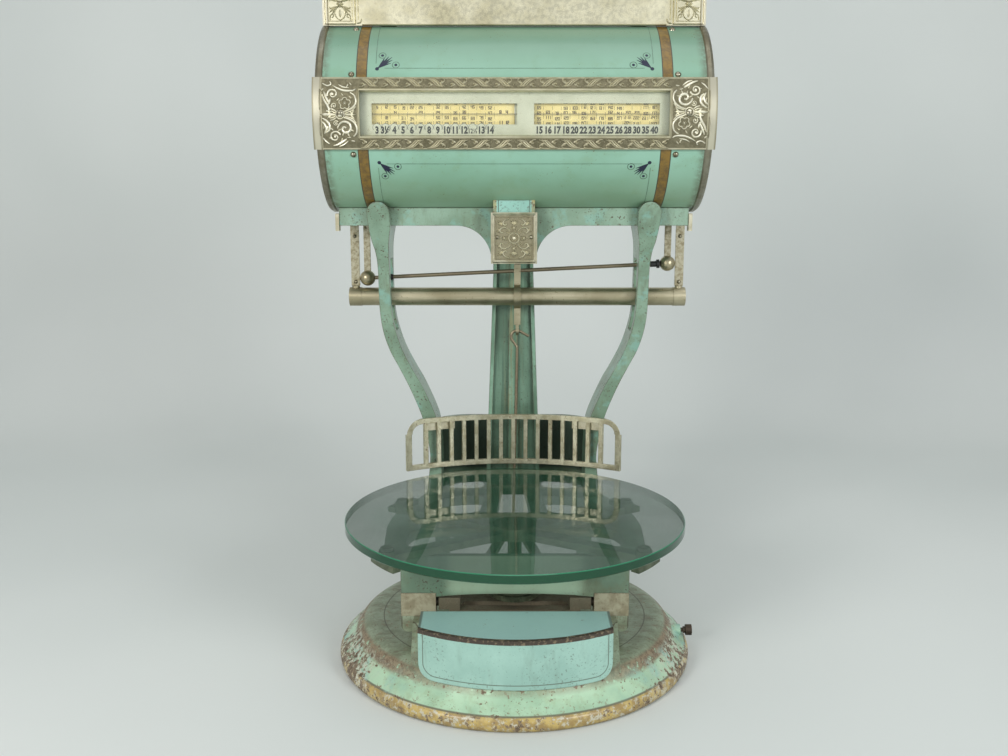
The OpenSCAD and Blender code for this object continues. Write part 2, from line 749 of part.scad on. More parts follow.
// Band round the rail's centre, from one place across the front to another
module rail_band(r0, r1, x0, x1, z0, z1) {
    a0 = acos(x1 / rail_r);
    a1 = acos(x0 / rail_r);
    translate([0, rail_mid, z0])
        rotate([0, 0, a0])
            rotate_extrude(angle = a1 - a0)
                translate([r0, 0]) square([r1 - r0, z1 - z0]);
}
module guard_rail() {
    w = rail_w / 2;
    top = rail_z + rail_h;
    bars = floor((w - 22) / bar_pitch);
    edge = bars * bar_pitch + bar_w / 2;
    r0 = rail_r - 2;
    r1 = rail_r + rail_t + 2;
    color(nickel) difference() {
        rail_band(rail_r, rail_r + rail_t, -w, w, rail_z, top);
        for (i = [-bars:bars - 1])
            rail_band(r0, r1, i * bar_pitch + bar_w / 2, (i + 1) * bar_pitch - bar_w / 2,
                rail_z + 6.5, top - 6.5);
        for (s = [-1, 1]) {
            a = min(s * edge, s * (w - 6));
            b = max(s * edge, s * (w - 6));
            rail_band(r0, r1, a, b, rail_z + 6.5, top - 19);
            intersection() {
                rail_band(r0, r1, a, b, top - 19.5, top);
                rod_y(60, 160, s * (w - 19), top - 19, 12.5);
            }
            c = min(s * (w - 19), s * (w + 2));
            d = max(s * (w - 19), s * (w + 2));
            difference() {
                rail_band(r0, r1, c, d, top - 19, top + 2);
                rod_y(60, 160, s * (w - 19), top - 19, 19);
            }
        }
    }
}
module rail_brackets() {
    top = rail_z + rail_h;
    color(nickel) for (s = [-1, 1]) {
        a = min(s * (arm_x - 19), s * (arm_x + 15));
        b = max(s * (arm_x - 19), s * (arm_x + 15));
        rail_band(rail_r + rail_t, rail_r + rail_t + 3, a, b, top - 17, top - 4);
        difference() {
            rod_y(120, 140, s * (arm_x + 9), top - 11, 5);
            translate([0, rail_mid, 0]) cylinder(h = 400, r = rail_r + rail_t + 2.5);
        }
    }
}

cup_r = 21;
module dashpot_cup() {
    color(steel) translate([0, -platter_y, 0]) difference() {
        translate([0, 0, base_top]) cylinder(h = 20, r = cup_r);
        translate([0, 0, base_top + 3]) cylinder(h = 13, r = cup_r - 3);
        translate([0, 0, base_top + 10]) cylinder(h = 20, r = 4 + 0.08);
    }
}
module dashpot_plunger() {
    color(steel) translate([0, -platter_y, 0]) union() {
        translate([0, 0, base_top + 9]) cylinder(h = bar_top + 1.6 - base_top - 9, r = 4);
        translate([0, 0, base_top + 8]) cylinder(h = 3, r = cup_r - 4);
    }
}
module glass_platter() {
    bevel = 1;
    color("mediumseagreen", 0.4) translate([0, -platter_y, glass_z]) rotate_extrude() polygon([
        [0, 0], [glass_r - bevel, 0], [glass_r, bevel], [glass_r, glass_t - bevel],
        [glass_r - bevel, glass_t], [0, glass_t]
    ]);
}
spider_deg = 32;
pad_r = 162;
module platter_spider() {
    color(nickel) translate([0, -platter_y, 0]) difference() {
        union() {
            translate([0, 0, hub_z]) cylinder(h = 14, r = 25);
            for (s = [-1, 1])
                for (a = [s * spider_deg, 180 + s * spider_deg])
                    rotate([0, 0, a]) {
                        translate([0, 0, hub_z]) linear_extrude(height = 8)
                            polygon([[0, -11], [pad_r, -6.5], [pad_r, 6.5], [0, 11]]);
                        translate([pad_r, 0, hub_z]) cylinder(h = pad_z - hub_z, r = 9);
                        toe = (a < 0 || (a > 180)) ? s * 1 : s;
                        rotate([0, 0, toe > 0 ? -3 : -12])
                            translate([0, 0, hub_z])
                                rotate_extrude(angle = 15) translate([pad_r + 5, 0]) square([10, 7]);
                    }
        }
        translate([0, 0, hub_z - 1]) cylinder(h = 11, r = stem_r + 0.06);
    }
}
module spider_pads() {
    color("darkslategray") translate([0, -platter_y, 0])
        for (s = [-1, 1])
            for (a = [s * spider_deg, 180 + s * spider_deg])
                rotate([0, 0, a]) translate([pad_r, 0, pad_z]) cylinder(h = pad_t, r = 7);
}
module platter_stem() {
    low = bar_top + 6;
    color(nickel) translate([0, -platter_y, 0]) difference() {
        union() {
            translate([0, 0, low]) cylinder(h = hub_z + 9 - low, r = stem_r);
            translate([0, 0, low]) cylinder(h = 6, r = collar_r);
            translate([0, 0, low + 6]) cylinder(h = 2.5, r = collar_r - 4);
            // Knife foot that rests on the lever
            block([-15, -2.5, bar_top + stop_gap], [15, 2.5, low]);
        }
        translate([0, 0, 0]) cylinder(h = bar_top + 1.6, r = 4);
    }
}

// Main lever, drawn at rest with its cross bars level
module main_lever() {
    arm_w = 10;
    color(steel) difference() {
        union() {
            for (s = [-1, 1]) {
                // Stub that carries the pivot, and the drop to the front bar
                x0 = s > 0 ? 62 : -block_in + 3;
                block([x0, -pivot_y - stub_half, pivot_z - stub_half],
                    [x0 + block_in - 65, -pivot_y + stub_half, pivot_z + stub_half]);
                x1 = s > 0 ? 62 : -74;
                block([x1, -pivot_y - stub_half, bar_top - 15], [x1 + 12, -pivot_y + stub_half, pivot_z]);
            }
            block([-74, -pivot_y - stub_half, bar_top - 15], [74, -pivot_y + stub_half, bar_top]);
            // Two long arms meet at the tip
            intersection() {
                linear_extrude(height = 200) difference() {
                    polygon([[74, -pivot_y], [12, draft_y - 14], [-12, draft_y - 14], [-74, -pivot_y]]);
                    polygon([[74 - arm_w, -pivot_y - 1], [12 - arm_w, draft_y - 24],
                        [arm_w - 12, draft_y - 24], [arm_w - 74, -pivot_y - 1]]);
                }
                side_slab(-100, 100) polygon([
                    [-pivot_y, bar_top - 15], [-pivot_y, bar_top], [-platter_y + 20, bar_top],
                    [draft_y - 14, tip_z + 3], [draft_y - 14, tip_z - 3]
                ]);
            }
            // Cross bar under the platter stem
            block([-62, -platter_y - 12, bar_top - 9], [62, -platter_y + 12, bar_top]);
            // Tip with the hole for the draft rod
            block([-12, draft_y - 16, tip_z - 3], [12, draft_y, tip_z + 3]);
            translate([0, draft_y, tip_z - 3]) cylinder(h = 6, r = 12);
        }
        translate([0, draft_y, tip_z - 4]) cylinder(h = 8, r = draft_r + 1.3);
        translate([0, -platter_y, 0]) cylinder(h = 140, r = 4 + 2.6);
        // Room for the dashpot cup
        translate([0, -platter_y, 0]) cylinder(h = bar_top - 6, r = cup_r + 4);
    }
}
module lever_pivots() {
    color(steel) for (s = [-1, 1])
        rod_x(s > 0 ? block_in - 3 : -block_in - 21, s > 0 ? block_in + 21 : -block_in + 3,
            -pivot_y, pivot_z, pivot_r);
}

hook_z = tube_z - 45;
hook_r = 8;
// Part of a round wire ring in the X-Z plane, from one angle to another
module wire_arc(x, z, r, wire, from, to) {
    translate([x, draft_y, z]) rotate([90, 0, 0]) rotate([0, 0, from])
        rotate_extrude(angle = to - from) translate([r, 0]) circle(r = wire);
}
// Straight wire between two points of the draft plane
module wire_line(a, b, wire) {
    d = b - a;
    translate([a[0], draft_y, a[1]]) rotate([0, atan2(d[0], d[1]), 0]) cylinder(h = norm(d), r = wire);
}
module wire_ball(a, r) {
    translate([a[0], draft_y, a[1]]) sphere(r = r);
}
module draft_rod() {
    c = [draft_x, hook_z - hook_r];
    a = c + hook_r * [cos(215), sin(215)];
    b = [draft_x, c[1] - 14];
    tail = c + hook_r * [cos(60), sin(60)];
    foot = [0, tip_z - 3 - stop_gap - 5];
    color(steel) union() {
        wire_arc(c[0], c[1], hook_r, draft_r, 60, 215);
        wire_ball(tail, draft_r + 0.2);
        wire_line(tail, tail + 13 * [sin(60), -cos(60)], draft_r - 0.1);
        wire_ball(a, draft_r + 0.2);
        wire_line(b, a, draft_r - 0.1);
        wire_ball(b, draft_r + 0.2);
        wire_line(foot, b, draft_r);
        wire_ball(foot, 5);
    }
}
yoke_w = 8.5;
module yoke() {
    head = beam_z - 51;
    color(nickel) difference() {
        union() {
            rod_x(draft_x - yoke_w / 2, draft_x + yoke_w / 2, draft_y, tube_z, tube_r + 4);
            block([draft_x - yoke_w / 2, draft_y - 3, tube_z], [draft_x + yoke_w / 2, draft_y + 3, head]);
            block([draft_x - yoke_w / 2, draft_y - 3.5, tube_z - 37],
                [draft_x + yoke_w / 2, draft_y + 3.5, tube_z]);
            block([draft_x - 2, draft_y - 5, hook_z], [draft_x + 2, draft_y + 5, tube_z - 36]);
            rod_x(draft_x - 2, draft_x + 2, draft_y, hook_z, 6);
        }
        rod_x(draft_x - 20, draft_x + 20, draft_y, tube_z, tube_r + slide_gap);
        rod_x(draft_x - 20, draft_x + 20, draft_y, hook_z, draft_r + 0.5);
        cross_line(rod_r + slide_gap);
    }
}
module equaliser_tube() {
    color(nickel) translate([draft_x, 0, 0]) difference() {
        rod_x(-tube_half + cap_len, tube_half - cap_len, draft_y, tube_z, tube_r);
        rod_x(-tube_half, tube_half, draft_y, tube_z, tube_r - 1.5);
    }
}
strap_low = tube_z + cap_r + 2;
module tube_caps() {
    color(nickel) translate([draft_x, 0, 0]) for (s = [-1, 1]) {
        rod_x(s > 0 ? tube_half - cap_len : -tube_half, s > 0 ? tube_half : -tube_half + cap_len,
            draft_y, tube_z, cap_r);
        translate([s * strap_off, draft_y, tube_z]) cylinder(h = strap_low - tube_z, r = 5);
    }
}
module strap(s) {
    x = draft_x + s * strap_off;
    color(nickel) block([x - strap_w / 2, draft_y - strap_t / 2, strap_low],
        [x + strap_w / 2, draft_y + strap_t / 2, seat_z]);
}
module left_strap() {
    strap(-1);
}
module right_strap() {
    strap(1);
}
module strap_screws() {
    color(nickel) for (s = [-1, 1])
        for (z = [strap_low + 5, beam_z - 15])
            translate([draft_x + s * strap_off, draft_y - strap_t / 2, z]) rotate([90, 0, 0]) dome(2.6, 2);
}
ball_left = [draft_x - drop_off, ball_left_z];
ball_right = [draft_x + drop_off, ball_right_z];
module cross_line(r) {
    wire_line(ball_left, ball_right, r);
}
module cross_rod() {
    color(steel) difference() {
        cross_line(rod_r);
        wire_ball(ball_left, ball_r);
        wire_ball(ball_right, ball_r);
    }
}
// Sleeves on the cross rod
module rod_collars() {
    d = (ball_right - ball_left) / norm(ball_right - ball_left);
    color("black") difference() {
        union() {
            wire_line(ball_left + 24 * d, ball_left + 33 * d, 3.8);
            wire_line(ball_right - 22 * d, ball_right - 13 * d, 3.8);
            wire_line(ball_right - 14 * d, ball_right - 10.5 * d, 5.6);
        }
        cross_line(rod_r);
        wire_ball(ball_right, ball_r);
    }
}
module rod_balls() {
    color(nickel) {
        wire_ball(ball_left, ball_r);
        wire_ball(ball_right, ball_r);
    }
}
module drop_rod(ball) {
    color(nickel) difference() {
        block([ball[0] - drop_w / 2, draft_y - 1.5, ball[1]], [ball[0] + drop_w / 2, draft_y + 1.5, seat_z]);
        wire_ball(ball, ball_r);
    }
}
module left_drop_rod() {
    drop_rod(ball_left);
}
module right_drop_rod() {
    drop_rod(ball_right);
}
module spring_seats() {
    color(steel) for (s = [-1, 1]) {
        a = draft_x + s * (drop_off - drop_w / 2);
        b = draft_x + s * (strap_off + strap_w / 2);
        block([min(a, b), draft_y - 6, seat_z], [max(a, b), draft_y + 6, seat_z + seat_t]);
    }
}
module spring(s) {
    low = seat_z + seat_t;
    color(steel) translate([draft_x + s * strap_off - s * 0.5, draft_y, low]) difference() {
        cylinder(h = hanger_z - low, r = spring_r);
        translate([0, 0, -1]) cylinder(h = hanger_z - low + 2, r = spring_r - 2);
    }
}
module left_spring() {
    spring(-1);
}
module right_spring() {
    spring(1);
}

// Teeth: root and tip depth about the pitch line, half widths at the root and at the tip
tooth_root = 1.3 * tooth_m;
tooth_tip = 0.9 * tooth_m;
tooth_pitch = PI * tooth_m;
root_w = 0.36 * tooth_pitch;
tip_w = 0.09 * tooth_pitch;
module rack() {
    head = beam_z - 51;
    top = barrel_z + travel + 12;
    count = ceil((travel + 9) / tooth_pitch);
    first = barrel_z - (floor(4 / tooth_pitch) + 0.5) * tooth_pitch;
    teeth = [for (i = [0:count])
        for (c = [[tooth_root, -root_w], [-tooth_tip, -tip_w], [-tooth_tip, tip_w], [tooth_root, root_w]])
            [rack_y + c[0], first + i * tooth_pitch + c[1]]];
    color(steel) side_slab(draft_x - rack_w / 2, draft_x + rack_w / 2) polygon(concat(
        [[rack_y + tooth_root, head]], teeth, [[rack_y + tooth_root, top], [rack_back, top],
        [rack_back, head]]
    ));
}
module drum_pinion() {
    step = 360 / pinion_teeth;
    root_r = pitch_r - tooth_root;
    tip_r = pitch_r + tooth_tip;
    root_a = root_w / pitch_r * 180 / PI * 1.05;
    tip_a = tip_w / pitch_r * 180 / PI;
    color("goldenrod") side_slab(draft_x - 5, draft_x + 5) translate([barrel_y, barrel_z]) difference() {
        polygon([for (i = [0:pinion_teeth - 1])
            for (c = [[-root_a, root_r], [-tip_a, tip_r], [tip_a, tip_r], [root_a, root_r]])
                c[1] * [cos(i * step + c[0]), sin(i * step + c[0])]]);
        circle(r = shaft_r);
    }
}
drum_gap = [draft_x - 5, draft_x + 10];
module chart_drum() {
    color(cream) for (s = [0, 1]) {
        x0 = s == 0 ? -drum_half : drum_gap[1];
        x1 = s == 0 ? drum_gap[0] : drum_half;
        difference() {
            rod_x(x0, x1, barrel_y, barrel_z, drum_r);
            rod_x(x0 - 1, x1 + 1, barrel_y, barrel_z, drum_r - 1.2);
        }
    }
}
module drum_discs() {
    t = 1.5;
    color("lightgray") for (x = [-drum_half + 2, drum_gap[0] - 4, drum_gap[1] + 2.5, drum_half - 3.5])
        difference() {
            union() {
                rod_x(x, x + t, barrel_y, barrel_z, drum_r - 1.2 - 0.05);
                rod_x(x - 0.5, x + t + 0.5, barrel_y, barrel_z, 10);
            }
            rod_x(x - 2, x + t + 2, barrel_y, barrel_z, shaft_r + 0.02);
            for (a = [0:60:300])
                rod_x(x - 1, x + t + 1, barrel_y + 54 * cos(a), barrel_z + 54 * sin(a), 24);
        }
}
module drum_shaft() {
    color(steel) rod_x(-shell_half - 3, shell_half + 3, barrel_y, barrel_z, shaft_r);
}
module thumb_screw() {
    x = base_r - 9;
    color(steel) union() {
        rod_x(x - 14, x + 5, thumb_y, thumb_z, thumb_r);
        rod_x(x + 4, x + 8, thumb_y, thumb_z, 4);
        rod_x(x + 7, x + 14, thumb_y, thumb_z, 6.5);
    }
}

base_casting();
bottom_cover();
front_box();
knife_blocks();
saddle_frame();
left_arm();
right_arm();
column();
cross_beam();
end_tabs();
rack_housing();
cover_plate();
cover_screws();
barrel_shell();
left_end_ring();
right_end_ring();
left_end_cap();
right_end_cap();
window_frame();
window_glass();
chart_mask();
index_wire();
rear_window_frame();
rear_window_glass();
tablet();
tablet_brackets();
barrel_screws();
frame_screws();
spring_hangers();
guard_rail();
rail_brackets();
dashpot_cup();
glass_platter();
platter_spider();
spider_pads();
platter_stem();
dashpot_plunger();
main_lever();
lever_pivots();
draft_rod();
yoke();
equaliser_tube();
tube_caps();
left_strap();
right_strap();
strap_screws();
cross_rod();
rod_collars();
rod_balls();
left_drop_rod();
right_drop_rod();
spring_seats();
rack();
left_spring();
right_spring();
chart_drum();
drum_discs();
drum_shaft();
drum_pinion();
thumb_screw();
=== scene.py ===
import json
import random
from math import cos, dist, pi, radians, sin

import bmesh
import bpy
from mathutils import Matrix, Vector

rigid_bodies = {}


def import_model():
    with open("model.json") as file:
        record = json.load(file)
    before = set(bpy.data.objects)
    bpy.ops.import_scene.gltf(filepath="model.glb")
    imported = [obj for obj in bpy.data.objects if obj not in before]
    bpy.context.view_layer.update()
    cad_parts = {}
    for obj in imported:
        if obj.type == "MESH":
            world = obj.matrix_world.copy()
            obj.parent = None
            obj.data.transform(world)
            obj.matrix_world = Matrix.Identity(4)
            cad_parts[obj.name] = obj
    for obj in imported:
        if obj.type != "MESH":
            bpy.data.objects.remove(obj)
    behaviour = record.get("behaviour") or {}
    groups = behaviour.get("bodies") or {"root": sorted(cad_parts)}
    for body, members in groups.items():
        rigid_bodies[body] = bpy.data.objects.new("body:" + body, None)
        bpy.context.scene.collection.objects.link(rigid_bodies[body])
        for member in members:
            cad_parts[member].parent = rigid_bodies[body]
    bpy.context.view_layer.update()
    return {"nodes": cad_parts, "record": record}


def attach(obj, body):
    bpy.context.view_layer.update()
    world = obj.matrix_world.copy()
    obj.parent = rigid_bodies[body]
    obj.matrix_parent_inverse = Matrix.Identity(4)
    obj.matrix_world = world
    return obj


for leftover in list(bpy.data.objects):
    bpy.data.objects.remove(leftover)
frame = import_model()

# Sizes are in millimetres up to the moment a mesh is finished
MM = 0.001
SIDES = (1, -1)
BARREL_Y, BARREL_Z = 150.0, 637.0
SHELL_R = 113.2
FRAME_R = 117.8
FRAME_ARC = radians(20.2) * FRAME_R
OPEN_X = 178.5
OPEN_ARC = radians(12.6) * FRAME_R
# The frame's chased fields: its bars by height from the axis, its end plates by distance from the middle
BAR_LOW, BAR_HIGH = 27.6, 38.9
PLATE_IN, PLATE_OUT = 180.6, 221.5
PLATE_X = 200.0
STRIPE_IN, STRIPE_OUT = 170.6, 182.2
MASK_R = 105.4
DRUM_R = 98.0
TABLET_Y, TABLET_LOW, TABLET_HIGH = 106.0, 743.6, 793.6
COVER_Y, COVER_Z = 92.0, 491.8
PLATTER_Y = -50.0
# Columns of figures to the left and right of the middle: first place and pitch
LEFT_FIRST, LEFT_PITCH = -159.8, 10.1
RIGHT_FIRST, RIGHT_PITCH = 28.5, 10.3
LEFT_SIGNS = "3 3½ 4 5 6 7 8 9 10 11 12 12½ 13 14".split()
RIGHT_SIGNS = "15 16 17 18 20 22 23 24 25 26 28 30 35 40".split()
LEFT_COLUMNS = [LEFT_FIRST + i * LEFT_PITCH for i in range(14)]
RIGHT_COLUMNS = [RIGHT_FIRST + i * RIGHT_PITCH for i in range(14)]
FIGURE_FOOT = radians(-11.9) * MASK_R


# Finishes


def away(across, along):
    """Distance from a point, by the two offsets from it."""
    return (across * across + along * along) ** 0.5


def shade(screen):
    """A colour for a shader from its screen values, 0 to 255."""
    return (*[((v / 255 + 0.055) / 1.055) ** 2.4 if v > 10 else v / 255 / 12.92 for v in screen], 1.0)


def joining(operation, back=False):
    """A method of Wire that adds one Math node; back puts the other term first."""

    def method(self, *other):
        terms = (*other, self) if back else (self, *other)
        return self.finish.node("Math", {"operation": operation}, *terms)

    return method


class Wire:
    """A socket that joins in sums."""

    def __init__(self, finish, socket):
        self.finish = finish
        self.socket = socket

    __add__ = __radd__ = joining("ADD")
    __sub__ = joining("SUBTRACT")
    __rsub__ = joining("SUBTRACT", back=True)
    __mul__ = __rmul__ = joining("MULTIPLY")
    __pow__ = joining("POWER")
    __gt__ = joining("GREATER_THAN")
    __abs__ = joining("ABSOLUTE")
    most = joining("MAXIMUM")


class Finish:
    """A material as a stack of layers over one Principled shader. Lengths are in millimetres."""

    def __init__(self, name, rough=0.5, metal=0.0, colour=None, **fixed):
        self.material = bpy.data.materials.new(name)
        self.material.use_nodes = True
        self.tree = self.material.node_tree
        self.tree.nodes.clear()
        self.shader = self.tree.nodes.new("ShaderNodeBsdfPrincipled")
        output = self.tree.nodes.new("ShaderNodeOutputMaterial")
        self.tree.links.new(self.shader.outputs[0], output.inputs[0])
        for key, value in fixed.items():
            self.shader.inputs[key.replace("_", " ")].default_value = value
        self.colour, self.rough, self.metal, self.height, self.alpha = colour, rough, metal, 0.0, None
        self.coords = self.node("TexCoord", {}, out="Object")
        scaled = self.node("VectorMath", {"operation": "SCALE"}, self.coords, {"Scale": 1 / MM})
        split = self.node("SeparateXYZ", {}, scaled)
        self.x, self.y, self.z = (Wire(self, output) for output in split.socket.node.outputs)

    def put(self, socket, value):
        if isinstance(value, Wire):
            self.tree.links.new(value.socket, socket)
        elif value is not None:
            socket.default_value = shade(value) if socket.type == "RGBA" else value

    def node(self, kind, settings, *values, out=0):
        """A shader node, its inputs filled in their order or by name; gives one of its outputs."""
        made = self.tree.nodes.new("ShaderNode" + kind)
        for key, value in settings.items():
            setattr(made, key, value)
        free = [socket for socket in made.inputs if socket.enabled]
        for value in values:
            if isinstance(value, dict):
                for key, named in value.items():
                    self.put(made.inputs[key], named)
            else:
                self.put(free.pop(0), value)
        if isinstance(out, str):
            return Wire(self, made.outputs[out])
        return Wire(self, [socket for socket in made.outputs if socket.enabled][out])

    def noise(self, grain, detail=3.0, harsh=0.55, stretch=None):
        """Cloudy pattern whose lumps are about grain across, 0.5 on average."""
        at = self.coords
        if stretch:
            at = self.node("Mapping", {}, at, {"Scale": stretch})
        wanted = {"Vector": at, "Scale": 1 / (grain * MM), "Detail": detail, "Roughness": harsh}
        return self.node("TexNoise", {}, wanted)

    def ramp(self, value, low, high):
        """Smooth step from 0 at low to 1 at high; low may be the larger."""
        return self.node("MapRange", {"interpolation_type": "SMOOTHSTEP"}, value, low, high, 0.0, 1.0)

    def cloud(self, low, high, *grain):
        """Soft-edged patches of noise: 0 where it is under low, 1 over high."""
        return self.ramp(self.noise(*grain), low, high)

    def band(self, value, low, high, soft=0.4):
        """1 where the value lies from low to high."""
        return self.ramp(value, low - soft, low + soft) * self.ramp(value, high + soft, high - soft)

    def mix(self, mask, one, two):
        return self.node("Mix", {"data_type": "RGBA"}, mask, one, two)

    def blend(self, mask, one, two):
        return self.node("Mix", {"data_type": "FLOAT"}, mask, one, two)

    def edges(self, radius, low=0.01, high=0.12):
        """1 along sharp edges."""
        softened = self.node("Bevel", {"samples": 5}, {"Radius": radius * MM})
        normal = self.node("NewGeometry", {}, out="Normal")
        same = self.node("VectorMath", {"operation": "DOT_PRODUCT"}, softened, normal, out="Value")
        return self.ramp(1 - same, low, high)

    def corners(self, reach, low=0.25, high=0.85):
        """1 down in corners and under overhangs, where shade falls; the finishes lay painted shade by it."""
        free = self.node("AmbientOcclusion", {"samples": 8}, {"Distance": reach * MM}, out="AO")
        return self.ramp(1 - free, low, high)

    def lay(self, mask, colour, rough=None, metal=None, height=None):
        """Lays a colour over what is there, where the mask is 1."""
        self.colour = self.mix(mask, self.colour, colour)
        if rough is not None:
            self.rough = self.blend(mask, self.rough, rough)
        if metal is not None:
            self.metal = self.blend(mask, self.metal, metal)
        if height is not None:
            self.height = mask * height + self.height

    def close(self, strength=0.5, reach=0.4, rounding=None):
        """Joins the layers to the shader. A height of 1 stands for reach; rounding softens the edges' light."""
        layers = {"Base Color": self.colour, "Roughness": self.rough, "Metallic": self.metal, "Alpha": self.alpha}
        for key, value in layers.items():
            self.put(self.shader.inputs[key], value)
        soft = rounding and self.node("Bevel", {"samples": 4}, {"Radius": rounding * MM})
        if isinstance(self.height, Wire):
            bump = {"Strength": strength, "Distance": reach * MM, "Height": self.height, "Normal": soft}
            soft = self.node("Bump", {}, bump)
        self.put(self.shader.inputs["Normal"], soft)
        return self


# Laid as real grime in patches, and as painted shade in corners
GRIME_AND_SHADE = (84, 80, 58)
RUST = (104, 80, 56)
DARK_RUST = (64, 50, 38)
IRON = (84, 76, 66)


def enamel(name, light, deep, grime_and_shade=0.5, specks=0.5, wear=0.16, rough=0.34):
    """Old gloss enamel on cast iron: clouded colour, grime in patches, painted shade in its corners, rust specks and
    worn edges.
    """
    f = Finish(name, rough, Coat_Weight=0.25, Coat_Roughness=0.18)
    f.colour = f.mix(f.cloud(0.35, 0.66, 60, 4), light, deep)
    fine = f.noise(3.2, 4, 0.7)
    f.colour = f.mix(f.ramp(fine, 0.3, 0.75) * 0.3, f.colour, deep)
    f.lay(f.cloud(0.5, 0.76, 11, 4, 0.6, (1, 1, 0.25)) * (0.6 * grime_and_shade), GRIME_AND_SHADE, rough + 0.15)
    # Painted shade down in corners and under overhangs
    f.lay(f.corners(13) * grime_and_shade, GRIME_AND_SHADE, 0.6)
    f.lay(f.cloud(0.6, 0.67, 2.6, 2) * f.cloud(0.42, 0.58, 34, 3) * specks, (78, 62, 46), 0.75, height=-0.4)
    f.lay(f.cloud(0.685, 0.72, 1.7, 2) * specks, (70, 60, 46), 0.7, height=-0.3)
    border = f.edges(1.8)
    f.lay(border * f.cloud(0.3, 0.52, 18, 3) * min(1, wear * 6), (88, 76, 58), 0.6)
    worn = f.noise(9, 6, 0.68) * 0.62 + border * wear
    f.lay(f.ramp(worn, 0.43, 0.455) * 0.6, RUST, 0.6)
    f.lay(f.ramp(worn, 0.455, 0.475), f.mix(f.cloud(0.4, 0.6, 4, 4, 0.7), DARK_RUST, IRON), 0.7, height=-1)
    f.height += fine * 0.35
    return f


def nickel(name, bright, dull, rust=0.3, rough=0.36, hollow_shade=0.6, reach=3.0, grain=10, metal=0.9):
    """Worn nickel plate: yellowed in clouds, dark with painted shade in its hollows, rusty in spots."""
    f = Finish(name, rough, metal)
    f.colour = f.mix(f.cloud(0.36, 0.66, grain, 5, 0.65), bright, dull)
    f.rough = f.blend(f.cloud(0.35, 0.7, 5, 4), rough - 0.06, rough + 0.14)
    # Painted shade in the hollows
    f.lay(f.corners(reach) * hollow_shade, (64, 58, 42), 0.65, 0.3)
    worn = f.ramp(f.noise(6.5, 6, 0.7) * 0.85, 0.52, 0.58)
    f.lay(worn * rust, RUST, 0.75, 0.2, height=-0.5)
    f.height += f.noise(1.4, 3, 0.7) * 0.25
    return f


def chased():
    """The relief on the barrel's frames and the tablet: a painted highlight on its ridges, dark between them."""
    f = nickel("chased_nickel", (204, 199, 174), (180, 174, 146), 0.2, 0.4, 0.45, 1.4, 40)
    side, z = abs(f.x), abs(f.z - BARREL_Z)
    over = away(f.y - BARREL_Y, z) - FRAME_R
    plates = f.band(side, PLATE_IN, PLATE_OUT, 0.5) * f.ramp(z, BAR_HIGH + 0.5, BAR_HIGH - 0.5)
    field = f.band(z, BAR_LOW, BAR_HIGH, 0.5).most(plates) * f.ramp(side, 222, 221) * f.ramp(over, -0.4, -0.2)
    low = f.mix(f.cloud(0.4, 0.62, 5, 4, 0.7), (92, 87, 64), (120, 114, 90))
    # Painted highlight on the raised ridges, lighter on the bars than on the end plates
    ridge_highlight = f.mix(f.ramp(z, 27, 28) * f.ramp(side, 181, 179.5), (240, 236, 218), (190, 184, 158))
    f.lay(field * f.ramp(over, 0.2, 0.75), ridge_highlight, 0.42)
    f.lay(field * f.ramp(over, 0.25, 0.03) * 0.92, low, 0.6, 0.6)
    # Rounded outer ends: painted shade over them, with a painted highlight in a band along their bulge, so they are
    # dark where they meet the plate and at their limit
    outside = f.ramp(side, PLATE_OUT, PLATE_OUT + 1)
    ends = f.ramp(abs(side - 227.2), 4.8, 2.2) * outside * f.ramp(over, -4, -3)
    f.lay(outside * 0.75, (118, 112, 90), 0.5)
    f.lay(ends * 0.85, (208, 203, 182), 0.3)
    return f.close(0.4, 0.4)


def dressed_fitting():
    """Fittings: nickel that is dark in the cover plate's recessed field, with a painted highlight on the relief that
    stands up in it.
    """
    f = nickel("fitting_nickel", (198, 193, 170), (168, 161, 134), 0.3, 0.4, 0.5, 1.4, 24)
    over = COVER_Y + 0.8 - f.y
    field = f.band(abs(f.x), -1, 23.7, 0.3) * f.band(f.z, 465.4, 518.2, 0.3) * f.band(over, -1.2, 4, 0.3)
    # Painted highlight on the raised relief
    f.lay(field * f.ramp(over, 0.25, 0.8), (214, 209, 186), 0.55)
    f.lay(field * f.ramp(over, 0.3, 0.03) * 0.8, (122, 116, 91), 0.6, 0.6)
    return f.close(0.4, 0.4)


def drawn(name, bright, dull, rust=0.3, rough=0.3):
    """Drawn nickel: faint streaks along X, a few pits, painted shade in its corners."""
    f = Finish(name, rough, 0.9)
    streaks = f.noise(7, 5, 0.6, stretch=(0.06, 1, 1))
    f.colour = f.mix(f.ramp(streaks, 0.3, 0.74) * 0.6, bright, dull)
    f.colour = f.mix(f.cloud(0.4, 0.7, 45, 4) * 0.6, f.colour, dull)
    # Painted shade in corners
    f.lay(f.corners(5) * 0.45, (74, 66, 46), 0.6, 0.4)
    f.lay(f.cloud(0.6, 0.68, 4, 5, 0.7) * rust, RUST, 0.7, 0.3, height=-0.5)
    f.height += streaks * 0.3
    return f.close(0.3, 0.3, 0.8)


def dressed_rail():
    """The guard rail: nickel with brown, pitted edges, worst along its top."""
    f = nickel("rail_nickel", (202, 198, 172), (172, 165, 136), 0.7, 0.38, 0.45, 3, 14)
    upper = f.ramp(f.z, 266, 284)
    f.lay(f.edges(1.4) * f.ramp(f.noise(5, 4, 0.7) + upper * 0.06, 0.46, 0.58) * 0.85, (88, 74, 54), 0.7, 0.3)
    f.lay(f.cloud(0.64, 0.7, 2.2, 3) * 0.7, (84, 68, 48), 0.75, 0.2, height=-0.4)
    return f.close(0.45, 0.4, 1)


